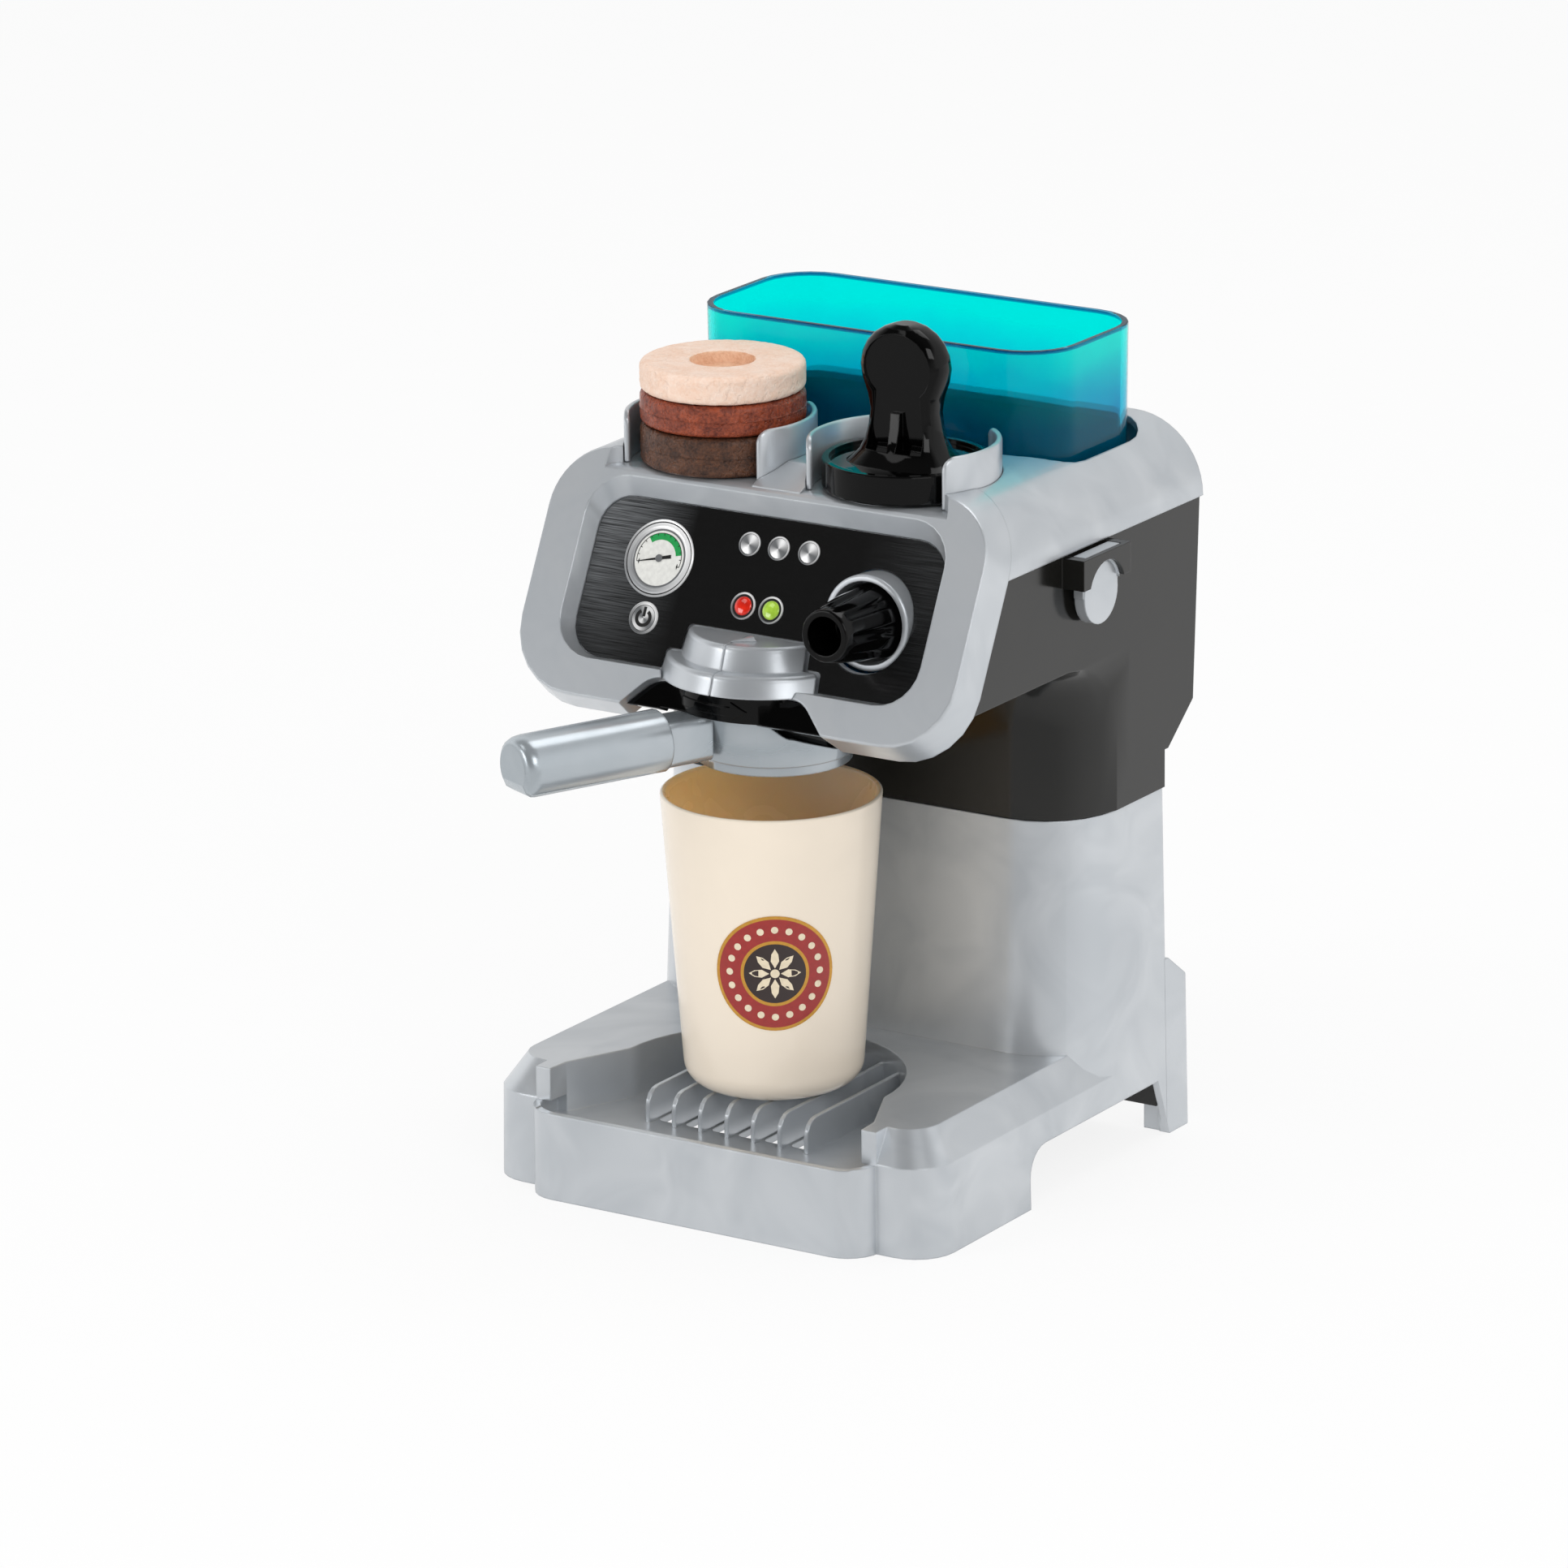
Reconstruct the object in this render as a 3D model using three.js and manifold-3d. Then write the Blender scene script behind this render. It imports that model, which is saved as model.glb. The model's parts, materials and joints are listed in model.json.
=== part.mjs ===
// Toy espresso machine with its water tank, three coffee pads, tamper, portafilter and cup.
// Millimetres. X runs to the right, Y to the back and Z up. The machine stands on Z = 0.
import * as THREE from "three";
import { mergeVertices } from "three/addons/utils/BufferGeometryUtils.js";
import Module from "manifold-3d";

const wasm = await Module();
wasm.setup();
const degrees = THREE.MathUtils.degToRad;

// Walls and clearances
const wall = 2.5; // moulded housing walls
const seam = 0.3; // gap where two mouldings meet
const running = 0.4; // gap round a piece that turns or slides
const overrun = 3; // how far every cut runs past the surface that it opens

// Base and column, one silver moulding
const baseHalfWidth = 87.5; // at the floor
const seamHeight = 122.5; // top edge of the silver column
const seamHalfWidth = 85;
const deckHeight = 42;
const deckBevelRise = 11;
const deckBevelInset = 7;
const earFront = -50.8;
const earCornerRadius = 14.4;
const lipFront = -61;
const lipHalfWidth = 66.8;
const lipHeight = 30.5;
const lipCornerRadius = 12;
const columnFront = 40.8; // at the deck
const columnFrontAtSeam = 44.7;
const columnBack = 104.5;
const columnCornerRadius = 26;
const columnBackRadius = 3;
const legBack = 118;
const legThickness = 10.5;
const legInnerHalfWidth = baseHalfWidth - legThickness;
const legShoulderLow = 52;
const legShoulderHigh = 62;
const archFront = 12.5;
const archBack = 104.5;
const archHeight = 20.5;
const archRadius = 10;
const archBackSlant = 8;

// Drip pan and its grate of ribs
const panRadius = 50;
const panCentre = -19;
const panMouthHalfWidth = 60.5;
const panMouth = -42;
const panFloor = 24.5; // where the sides of the pan meet its floor
const ribCount = 7;
const ribPitch = 10.4;
const ribThickness = 1.5;
const ribTop = 35.9;
const ribFront = -37.6;
const ribNoseRadius = 6;
const slotFront = -34;
const slotBack = 12;

// Black upper body
const bodyHalfWidth = 86;
const bodyUnderside = 178;
const bodyHeight = 40.3;
const bodyTop = bodyUnderside + bodyHeight;
const bodyBackTop = 125;
const bodyBackLow = 121;
const neckHeight = bodyUnderside - seamHeight;
const bodyBackLowShare = 0.48;
const bodyBackLowHeight = seamHeight + bodyBackLowShare * neckHeight;
const neckBackShare = 0.24;
const neckBackHeight = seamHeight + neckBackShare * neckHeight;
const shelfRise = 11.7;
const shelfHeight = bodyUnderside + shelfRise; // top of the shelf under the tank
const spigotDepth = 6;
const flareFront = 34; // front of the neck where it meets the head
const flareHeightShare = 0.43;
const flareHeight = flareHeightShare * neckHeight;
const flareCornerRadius = 6;
const flareShares = [0, 0.45, 0.75, 0.92, 1];

// Leaning front: its own plane is that of the black plate, measured from the plate's top edge
const frontLean = degrees(26.7);
const plateTopY = -2.3;
const plateRise = 50.5;
const plateTopZ = bodyUnderside + plateRise;
const plateHalfWidth = 67;
const plateHeight = 54.8;
const plateCornerRadius = 12;
const plateThickness = 0.8;
const plateSunk = 0.4;
const slopeAt = (z, offset) => (z - plateTopZ - offset * Math.sin(frontLean)) / Math.cos(frontLean);
const bezelRise = 6; // from the plate forward to the face of its frame
const bezelDepth = 6.5; // from the plate back to the rim of the frame
const bezelCrease = 0.8;
const bezelLip = 0.2; // how far the rim of the frame stands out from the hood's sides
const bezelDrop = 16.2; // how far the frame hangs below the head
const bezelBottom = slopeAt(bodyUnderside - bezelDrop, -bezelDepth);
const bezelCornerRadius = 24;
const faceHalfWidth = 84.6;
const faceInset = 1.8; // the face's lower edge above the rim
const faceShoulderRadius = 22;
const mouthGrowth = 2.8; // how much wider each side of the recess is at the face
const mouthTop = 5.7;
const mouthDrop = 1.8;
const mouthCornerRadius = 14.5;
const notchRise = 0.5;
const notchTop = slopeAt(bodyUnderside + notchRise, bezelRise);
const notchTopHalfWidth = 29.2;
const notchBottomHalfWidth = 41;
const notchCornerReach = 4.5;
const notchWingSunk = 3.4; // black infill behind the face

// Silver hood
const hoodHalfWidth = 86.8;
const hoodHeight = 26.7;
const hoodTop = bodyTop + hoodHeight;
const hoodFrontFall = 0.8;
const hoodFrontTop = hoodTop - hoodFrontFall;
const hoodSlopeBack = 50;
const hoodShoulderRadius = 26.4;
const hoodBack = 126;
const seatDepth = 6.5;
const seatFloor = hoodTop - seatDepth; // floor under the pads and the tamper
const seatCentreX = 35.7;
const seatCentreY = 19.2;
const seatBack = 1.6; // the pads and the tamper stand this far behind the middles of their seats
const seatWallInner = 30.1;
const seatWallOuter = 32.1;
const seatWallRise = 11;
const seatWallTop = hoodTop + seatWallRise;
const seatWallOpening = degrees(110);
const seatWallEndRadius = 5;
const seatWallSteps = 30;
const seatWallEndShares = [0, 0.03, 0.12, 0.3, 0.6, 1];
const shelfHalfWidth = 66.5;
const shelfCornerRadius = 7.4;
const shelfEdgeDrop = 1.7;
const shelfEdgeDepth = 4.5;
const shelfRampFront = -3;
const shelfRampBack = 13;
const tankSlotGap = 1.2;
const tankSlotSideGap = 3;

// Water tank
const tankSideStep = 15.3;
const tankHalfWidth = bodyHalfWidth - tankSideStep; // at the rim
const tankFront = 51.8;
const tankBack = 118;
const tankBottom = shelfHeight + seam;
const tankHeight = 90;
const tankTop = tankBottom + tankHeight;
const tankCornerRadius = 19;
const tankWall = 2.2;
const tankDraft = 0.9; // how much each side draws in from rim to bottom

// Coffee pads
const padRadius = 27.6;
const padRounding = 2.2;
const darkPadHeight = 13.4;
const redPadHeight = 10.6;
const creamPadHeight = 9.6;
const padDimpleRadius = 10.5;
const padDimpleDepth = 4;
const padGrooveDepth = 0.5;

// Tamper
const tamperRadius = 28;
const tamperEdgeRadius = 1.5;
const tamperDiscHeight = 10.4;
const tamperRimWidth = 2.4;
const tamperDishDepth = 1.6;
const tamperHeight = 53;
const tamperHeadHalfWidth = 14.2;
const tamperHeadHalfDepth = 7;
const tamperNeckHalfWidth = 11;
const tamperNeckHalfDepth = 6.4;
const tamperFootHalfWidth = 20;
const tamperFootHalfDepth = 15;
const tamperNeckHeight = 25;
const tamperHeadHeight = 39;
const tamperRecessDepth = 1.6;
const tamperRecessBorder = 3;

// Group head: two drafted round steps in front of the black plate
const domeY = -9;
const domeRadius = 35.4;
const domeUpperRadius = 28.3;
const domeDraft = 0.27; // how much the radius shrinks with each millimetre of height
const domeLow = bodyUnderside + seam;
const domeLowerHeight = 6.9;
const domeUpperHeight = 8;
const domeStep = domeLow + domeLowerHeight;
const domeTop = domeStep + domeUpperHeight;
const domeRounding = 2;
const domeGrooveWidth = 0.5;
const domeGrooveDepth = 0.4;

// Bayonet collar and portafilter share one upright axis
const groupY = -5.3;
const collarRadius = 33.5;
const collarTop = bodyUnderside - seam;
const collarHeight = 9.3;
const collarBottom = collarTop - collarHeight;
const skirtRadius = 24;
const skirtInner = 21.6;
const skirtHeight = 8.4;
const skirtBottom = collarBottom - skirtHeight;
const infillHeight = 14;
const infillBottom = collarBottom - infillHeight;
const bayonetCount = 2;
const bayonetHook = 1.4; // how far a ledge and a lug reach past each other's wall
const ledgeThickness = 1.6;
const ledgeArc = degrees(74);
const lugArc = degrees(36);
const lugThickness = 1.5;
const handleSwing = degrees(15); // middle of the handle's swing, from where it is photographed
const handleRange = degrees(30);
const bowlTopRadius = 30;
const bowlWall = 2;
const bowlFootRadius = 25.8;
const bowlHeight = 19.9;
const bowlBottom = collarBottom - bowlHeight;
const bowlFootBand = 3.2;
const rampStart = degrees(-68); // where the rim of the bowl begins to drop, from X
const rampStepTurn = degrees(22);
const rampStepDrop = 6.3;
const rampSlopeTurn = degrees(36);
const rampSlopeDrop = 6;
const rampLevelTurn = degrees(38);
const rampRiseTurn = degrees(12);
const bowlSpoutRadius = 2;
const handleDrop = 7.2;
const handleHeight = collarBottom - handleDrop;
const handleTurn = degrees(-24); // where the handle points in the photograph, from straight ahead
const neckHalfWidth = 7.6;
const neckHalfHeight = 8.2;
const gripStart = 46;
const gripEnd = 101.5;
const gripRadius = 10.6;
const gripFlat = 9.2; // from the axis down to the flat underside
const gripNose = 5;
const neckTongue = 14;
const neckTop = handleHeight + neckHalfHeight - 4 * seam;

// Knob, on an axis that is nearly level
const knobX = 43.3;
const knobDown = 29.2;
const knobRise = degrees(4);
const socketRadius = 16;
const socketWall = 2.2;
const socketReach = 2;
const socketDepth = 12;
const knobLength = 27.2;
const knobBaseRadius = 12.9;
const knobEndRadius = 8.8;
const knobBore = 6.4;
const knobBoreDepth = 17;
const knobFlutes = 8;
const knobFluteDepth = 1.5;
const knobFlangeLength = 3;
const knobSink = 3;
const knobStemRadius = 4;
const knobStemLength = 12;

// Side button under its bridge
const buttonY = 50.4;
const buttonDrop = 14.6;
const buttonZ = bodyTop - buttonDrop;
const buttonRadius = 10.6;
const buttonProud = 6;
const buttonFace = bodyHalfWidth + buttonProud;
const buttonThickness = 4;
const buttonTravel = 1.5;
const buttonTongueHalfWidth = 11;
const buttonStemRadius = 3.4;
const buttonStemLength = 15;
const buttonWasherRadius = 6;
const buttonWasherThickness = 1.4;
const springWellDepth = 11;
const bridgeReach = 8.4;
const bridgeHalfLength = 15;
const bridgeLow = 3.9;
const bridgeHigh = 14.2;
const bridgeBottom = buttonZ + bridgeLow;
const bridgeTop = buttonZ + bridgeHigh;
const bridgeCheek = 2.4;
const bridgeSkin = 1.6;
const springWire = 0.8;
const springRadius = 4.9; // to the middle of the wire
const springTurns = 4;
const springWellRadius = 6.2;

// Cup
const cupX = -1.1;
const cupY = -6.1;
const cupHeightShare = 0.8934; // of the height between the ribs and the bowl
const cupHeight = cupHeightShare * (bowlBottom - ribTop);
const cupRimRadius = 37.2;
const cupFootRadius = 30.2;
const cupFootRounding = 8;
const cupWall = 2.2;

// Screws
const screwHeadRadius = 2.8;
const screwHeadHeight = 1.6;
const screwRadius = 1.4;
const screwLength = 9;
const screwBossRadius = 4;

// Number of straight steps in a full round and in one rounded corner
const roundSteps = 48;
const cornerSteps = 6;

// Materials
const plastic = (color, roughness, metalness = 0) =>
  new THREE.MeshStandardMaterial({ color, roughness, metalness });
const silverPlastic = plastic("#b4b8bc", 0.35, 0.35);
const brightSilverPlastic = plastic("#c2c8cc", 0.22, 0.55);
const blackPlastic = plastic("#3a3a37", 0.2);
const glossBlackPlastic = plastic("#0b0b0b", 0.08);
const brushedBlack = plastic("#161616", 0.45, 0.3);
const creamPlastic = plastic("#efe3c6", 0.2);
const padCream = plastic("#efd6c2", 0.9);
const padRedBrown = plastic("#7b3a27", 0.55);
const padDarkBrown = plastic("#5a4031", 0.55);
const screwSteel = plastic("#9a9a9a", 0.3, 1);
const tankPlastic = new THREE.MeshStandardMaterial({
  color: "#12c8cf",
  roughness: 0.08,
  transparent: true,
  opacity: 0.6,
});

// A closed geometry as a solid that can be joined and cut, with its faces pointing out.
function solidOf(geometry) {
  const bare = geometry.clone();
  bare.deleteAttribute("normal");
  bare.deleteAttribute("uv");
  const merged = mergeVertices(bare, 1e-4);
  const vertProperties = merged.attributes.position.array;
  const triVerts = new Uint32Array(merged.index.array);
  const made = new wasm.Manifold(new wasm.Mesh({ numProp: 3, vertProperties, triVerts }));
  if (made.volume() >= 0) return made;
  for (let i = 0; i < triVerts.length; i += 3) {
    [triVerts[i], triVerts[i + 1]] = [triVerts[i + 1], triVerts[i]];
  }
  return new wasm.Manifold(new wasm.Mesh({ numProp: 3, vertProperties, triVerts }));
}

const joined = (...solids) => solids.flat().reduce((all, next) => all.add(next));
const cutBy = (solid, ...tools) => tools.flat().reduce((left, tool) => left.subtract(tool), solid);
const placed = (solid, matrix) => solid.transform(matrix.elements);
const moved = (solid, x, y, z) => solid.translate([x, y, z]);
const mirrored = (solid) => solid.mirror([1, 0, 0]);
const bothSides = (solid) => [solid, mirrored(solid)];
const point = (x, y) => new THREE.Vector2(x, y);

// An outline in plan, from one height to another.
function upright(outline, low, high) {
  const geometry = new THREE.ExtrudeGeometry(new THREE.Shape(outline), {
    depth: high - low,
    bevelEnabled: false,
  });
  return solidOf(geometry.translate(0, 0, low));
}

// A side profile of (y, z) points, from one x to another.
function crosswise(profile, left, right) {
  const turn = new THREE.Matrix4().makeBasis(
    new THREE.Vector3(0, 1, 0),
    new THREE.Vector3(0, 0, 1),
    new THREE.Vector3(1, 0, 0),
  );
  return placed(upright(profile, left, right), turn);
}

// A front profile of (x, z) points, from one y to another.
function lengthwise(profile, front, back) {
  const turn = new THREE.Matrix4().makeBasis(
    new THREE.Vector3(1, 0, 0),
    new THREE.Vector3(0, 0, 1),
    new THREE.Vector3(0, -1, 0),
  );
  return placed(upright(profile, -back, -front), turn);
}

// A profile of [radius, height] pairs turned about Z.
function turned(profile, steps = roundSteps) {
  const points = profile.map(([radius, height]) => point(radius, height));
  return solidOf(new THREE.LatheGeometry(points, steps).rotateX(Math.PI / 2));
}

const disc = (radius, low, high, steps = roundSteps) =>
  turned([[0, low], [radius, low], [radius, high], [0, high]], steps);

// Rings of points with as many points each, skinned one to the next and closed at both ends.
function skinned(rings) {
  const count = rings[0].length;
  const centre = (ring) =>
    ring.reduce((sum, p) => sum.add(p), new THREE.Vector3()).divideScalar(count);
  const points = rings.flat();
  const firstCentre = points.length;
  const lastCentre = firstCentre + 1;
  const lastRing = (rings.length - 1) * count;
  const all = [...points, centre(rings[0]), centre(rings[rings.length - 1])];
  const faces = [];
  for (let i = 0; i < count; i++) {
    const j = (i + 1) % count;
    faces.push(firstCentre, j, i, lastCentre, lastRing + i, lastRing + j);
    for (let low = 0; low < lastRing; low += count) {
      const high = low + count;
      faces.push(low + i, low + j, high + j, low + i, high + j, high + i);
    }
  }
  const geometry = new THREE.BufferGeometry().setFromPoints(all);
  return solidOf(geometry.setIndex(faces));
}

// Outlines in plan at rising heights, skinned into one drafted body.
const drafted = (levels) =>
  skinned(levels.map(({ z, outline }) => outline.map((p) => new THREE.Vector3(p.x, p.y, z))));

// An arc of points about a centre.
function arc(x, y, radius, from, to, steps = cornerSteps) {
  return Array.from({ length: steps + 1 }, (unused, i) => {
    const angle = from + ((to - from) * i) / steps;
    return point(x + radius * Math.cos(angle), y + radius * Math.sin(angle));
  });
}

// A rectangle in plan with round corners, anticlockwise from its front right corner.
function roundedRectangle(halfWidth, front, back, frontRadius, backRadius, centreX = 0) {
  const quarter = Math.PI / 2;
  const right = centreX + halfWidth;
  const left = centreX - halfWidth;
  return [
    ...arc(right - frontRadius, front + frontRadius, frontRadius, -quarter, 0),
    ...arc(right - backRadius, back - backRadius, backRadius, 0, quarter),
    ...arc(left + backRadius, back - backRadius, backRadius, quarter, 2 * quarter),
    ...arc(left + frontRadius, front + frontRadius, frontRadius, 2 * quarter, 3 * quarter),
  ];
}

// A ring sector about Z with square ends.
function sector(inner, outer, from, to, low, high, steps = roundSteps) {
  const outline = [
    ...arc(0, 0, outer, from, to, steps),
    ...arc(0, 0, inner, to, from, steps),
  ];
  return upright(outline, low, high);
}

// One named piece of the model.
function piece(name, solid, material) {
  const { vertProperties, triVerts, numProp } = solid.getMesh();
  if (numProp !== 3) throw new Error(name + " has more than positions");
  const geometry = new THREE.BufferGeometry();
  geometry.setAttribute("position", new THREE.BufferAttribute(vertProperties, 3));
  geometry.setIndex(new THREE.BufferAttribute(triVerts, 1));
  geometry.computeVertexNormals();
  const mesh = new THREE.Mesh(geometry, material);
  mesh.name = name;
  return mesh;
}

// Pan head screw with its head's underside at the origin and its shank along -Z.
const screwSolid = () =>
  turned(
    [
      [0, -screwLength],
      [screwRadius / 2, -screwLength],
      [screwRadius, -screwLength + screwRadius],
      [screwRadius, 0],
      [screwHeadRadius, 0],
      [screwHeadRadius, screwHeadHeight / 2],
      [screwHeadRadius * 0.7, screwHeadHeight],
      [0, screwHeadHeight],
    ],
    12,
  );

// The leaning front's own frame: x across, y up the slope, z out of the front.
const frontFrame = new THREE.Matrix4()
  .makeBasis(
    new THREE.Vector3(1, 0, 0),
    new THREE.Vector3(0, Math.sin(frontLean), Math.cos(frontLean)),
    new THREE.Vector3(0, -Math.cos(frontLean), Math.sin(frontLean)),
  )
  .setPosition(0, plateTopY, plateTopZ);

// Everything in front of a plane parallel to the leaning front.
const reach = 4 * baseHalfWidth;
const aheadOf = (offset) =>
  placed(upright(roundedRectangle(reach, -reach, reach, wall, wall), offset, reach), frontFrame);
const behind = (offset) =>
  placed(upright(roundedRectangle(reach, -reach, reach, wall, wall), -reach, offset), frontFrame);

// Half width of the silver sides, which draw in towards the top.
const sideAt = (z) => baseHalfWidth - ((baseHalfWidth - seamHalfWidth) * z) / seamHeight;
const columnFrontAt = (z) =>
  columnFront + ((columnFrontAtSeam - columnFront) * (z - deckHeight)) / (seamHeight - deckHeight);

function columnOutline(z, inset) {
  const frontRadius = columnCornerRadius - inset;
  const backRadius = Math.max(columnBackRadius - inset, seam);
  return roundedRectangle(
    sideAt(z) - inset,
    columnFrontAt(z) + inset,
    columnBack - inset,
    frontRadius,
    backRadius,
  );
}

// The drip pan in plan: a round back, sides that flare to the ears, and the trough behind the lip.
function panOutline(inset) {
  const radius = panRadius - inset;
  const mouth = panMouthHalfWidth - inset;
  const trough = lipHalfWidth - wall - inset;
  const troughFront = lipFront + wall + inset;
  const corner = lipCornerRadius - wall;
  const right = arc(trough - corner, troughFront + corner, corner, -Math.PI / 2, 0);
  const left = right.map((p) => point(-p.x, p.y)).reverse();
  return [
    ...right,
    point(trough, panMouth - inset),
    point(mouth, panMouth - inset),
    ...arc(0, panCentre, radius, 0, Math.PI, roundSteps / 2),
    point(-mouth, panMouth - inset),
    point(-trough, panMouth - inset),
    ...left,
  ];
}

// Side opening under the base, with its slanted back end.
function archProfile() {
  const high = archHeight - archRadius;
  const bow = arc(archFront + archRadius, high, archRadius, Math.PI, Math.PI / 2);
  return [
    point(archFront, -overrun),
    ...bow,
    point(archBack - archBackSlant, archHeight),
    point(archBack, -overrun),
  ];
}

function baseShell() {
  const bevelFoot = deckHeight - deckBevelRise;
  const level = (z, inset) => ({
    z,
    outline: roundedRectangle(
      sideAt(z) - inset,
      earFront + inset,
      columnBack - seam,
      Math.max(earCornerRadius - inset / 2, wall),
      columnBackRadius,
    ),
  });
  const block = drafted([level(0, 0), level(bevelFoot, 0), level(deckHeight, deckBevelInset)]);
  const blockHollow = drafted([
    level(-overrun, wall),
    level(bevelFoot - wall / 2, wall),
    level(deckHeight - wall, deckBevelInset + wall),
  ]);
  const column = drafted([
    { z: 0, outline: columnOutline(0, 0) },
    { z: seamHeight, outline: columnOutline(seamHeight, 0) },
  ]);
  const columnHollow = drafted([
    { z: -overrun, outline: columnOutline(-overrun, wall) },
    { z: seamHeight + overrun, outline: columnOutline(seamHeight + overrun, wall) },
  ]);
  const backOpening = upright(
    roundedRectangle(legInnerHalfWidth, columnBack - 2 * wall, legBack + overrun, wall, wall),
    -overrun,
    seamHeight - wall,
  );
  const lip = upright(
    roundedRectangle(lipHalfWidth, lipFront, panCentre, lipCornerRadius, wall),
    0,
    lipHeight,
  );
  const lipHollow = upright(
    roundedRectangle(lipHalfWidth - wall, lipFront + wall, panCentre, lipCornerRadius - wall, wall),
    -overrun,
    panFloor - wall,
  );
  return cutBy(joined(block, column, lip), blockHollow, columnHollow, backOpening, lipHollow);
}

// One rear leg: the side wall reaches back behind the column, under a sloping shoulder.
function rearLeg() {
  const profile = (inset) => [
    point(columnBack - wall - inset, inset ? -overrun : 0),
    point(legBack - inset, inset ? -overrun : 0),
    point(legBack - inset, legShoulderLow - inset / 2),
    point(columnBack, legShoulderHigh - inset),
    point(columnBack - wall - inset, legShoulderHigh - inset),
  ];
  const level = (z) => ({
    z,
    outline: roundedRectangle(sideAt(z), 0, legBack, wall, columnBackRadius),
  });
  const side = drafted([level(0), level(legShoulderHigh)]);
  const leg = crosswise(profile(0), legInnerHalfWidth, baseHalfWidth).intersect(side);
  const hollow = crosswise(
    profile(wall),
    legInnerHalfWidth - overrun,
    sideAt(legShoulderHigh) - wall,
  );
  return cutBy(leg, hollow);
}

// Everything inside the deck's outer faces, for trimming what stands round the pan.
const deckBlock = () =>
  drafted([
    { z: -overrun, outline: roundedRectangle(sideAt(0) - wall, earFront, columnBack, wall, wall) },
    {
      z: deckHeight,
      outline: roundedRectangle(sideAt(0) - deckBevelInset, earFront, columnBack, wall, wall),
    },
  ]);

const panWalls = () =>
  upright(panOutline(-wall), panFloor - wall, deckHeight).intersect(
    joined(deckBlock(), upright(panOutline(0), panFloor - wall, lipHeight)),
  );

const ribPlaces = Array.from({ length: ribCount }, (unused, i) => (i - (ribCount - 1) / 2) * ribPitch);

// Ribs that carry the cup, standing on the pan's floor and running into its round back.
function ribs() {
  const nose = arc(ribFront + ribNoseRadius, ribTop - ribNoseRadius, ribNoseRadius, Math.PI, Math.PI / 2, 4);
  return ribPlaces.map((x) => {
    const back = panCentre + Math.sqrt(panRadius ** 2 - x ** 2) + wall / 2;
    const profile = [
      point(ribFront, panFloor - wall / 2),
      ...nose,
      point(back, ribTop),
      point(back, panFloor - wall / 2),
    ];
    return crosswise(profile, x - ribThickness / 2, x + ribThickness / 2);
  });
}

// Slots through the pan's floor between the ribs.
function ribSlots() {
  const halfWidth = (ribPitch - ribThickness) / 2 - wall / 4;
  return ribPlaces.slice(1).map((x) =>
    upright(
      roundedRectangle(halfWidth, slotFront, slotBack, wall, wall, x - ribPitch / 2),
      panFloor - wall - overrun,
      panFloor + seam,
    ),
  );
}

// Bosses inside the column for the back cover's screws.
const coverScrewLow = 8;
const coverScrewHigh = 14.5;
const coverScrewHeights = [deckHeight - coverScrewLow, seamHeight - coverScrewHigh];
const coverScrewInset = 15.5;
const coverScrewX = baseHalfWidth - coverScrewInset;
const coverFront = columnBack - 2 * wall;
const coverBossPlaces = coverScrewHeights.flatMap((z) => [-1, 1].map((side) => [side * coverScrewX, z]));

function coverBoss([x, z]) {
  const towards = Math.sign(x);
  const outer = sideAt(z) - wall / 2;
  const inner = Math.abs(x) - screwBossRadius;
  const middle = (outer + inner) / 2;
  const profile = roundedRectangle((outer - inner) / 2, z - screwBossRadius, z + screwBossRadius, wall / 2, wall / 2, towards * middle);
  return lengthwise(profile, coverFront - seam - screwLength - wall, coverFront - seam);
}

// A bore along Y that ends inside a boss.
function boreBackwards(x, z, radius, front, back) {
  return lengthwise(arc(x, z, radius, 0, 2 * Math.PI, 16).slice(1), front, back);
}

function base() {
  const pan = upright(panOutline(0), panFloor, lipHeight);
  const panTop = upright(
    [
      point(-panMouthHalfWidth - ribThickness, lipFront - overrun),
      point(panMouthHalfWidth + ribThickness, lipFront - overrun),
      point(panMouthHalfWidth, panMouth),
      ...arc(0, panCentre, panRadius, 0, Math.PI, roundSteps / 2),
      point(-panMouthHalfWidth, panMouth),
    ],
    lipHeight - seam,
    deckHeight + overrun,
  );
  const arches = crosswise(archProfile(), legInnerHalfWidth - overrun, baseHalfWidth + overrun);
  const bossBores = coverBossPlaces.map(([x, z]) =>
    boreBackwards(x, z, screwRadius + seam, coverFront - seam - screwLength - wall / 2, coverFront + overrun),
  );
  const housing = joined(baseShell(), bothSides(rearLeg()), panWalls(), coverBossPlaces.map(coverBoss));
  const opened = cutBy(housing, pan, panTop, bothSides(arches), bossBores);
  return cutBy(joined(opened, ribs()), ribSlots());
}

function backCover() {
  const halfWidth = (z) => sideAt(z) - wall - seam;
  const low = archHeight / 2;
  const high = seamHeight - wall;
  const outline = [
    point(-halfWidth(low), low),
    point(halfWidth(low), low),
    point(halfWidth(high), high),
    point(-halfWidth(high), high),
  ];
  const insideLegs = [
    point(-legInnerHalfWidth + seam, low),
    point(legInnerHalfWidth - seam, low),
    point(legInnerHalfWidth - seam, high),
    point(-legInnerHalfWidth + seam, high),
  ];
  const plate = lengthwise(outline, coverFront, coverFront + wall - seam);
  const pad = lengthwise(insideLegs, coverFront, columnBack);
  const holes = coverBossPlaces.map(([x, z]) =>
    boreBackwards(x, z, screwRadius + seam, coverFront - overrun, columnBack + overrun),
  );
  return cutBy(joined(plate, pad), holes);
}

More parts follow.
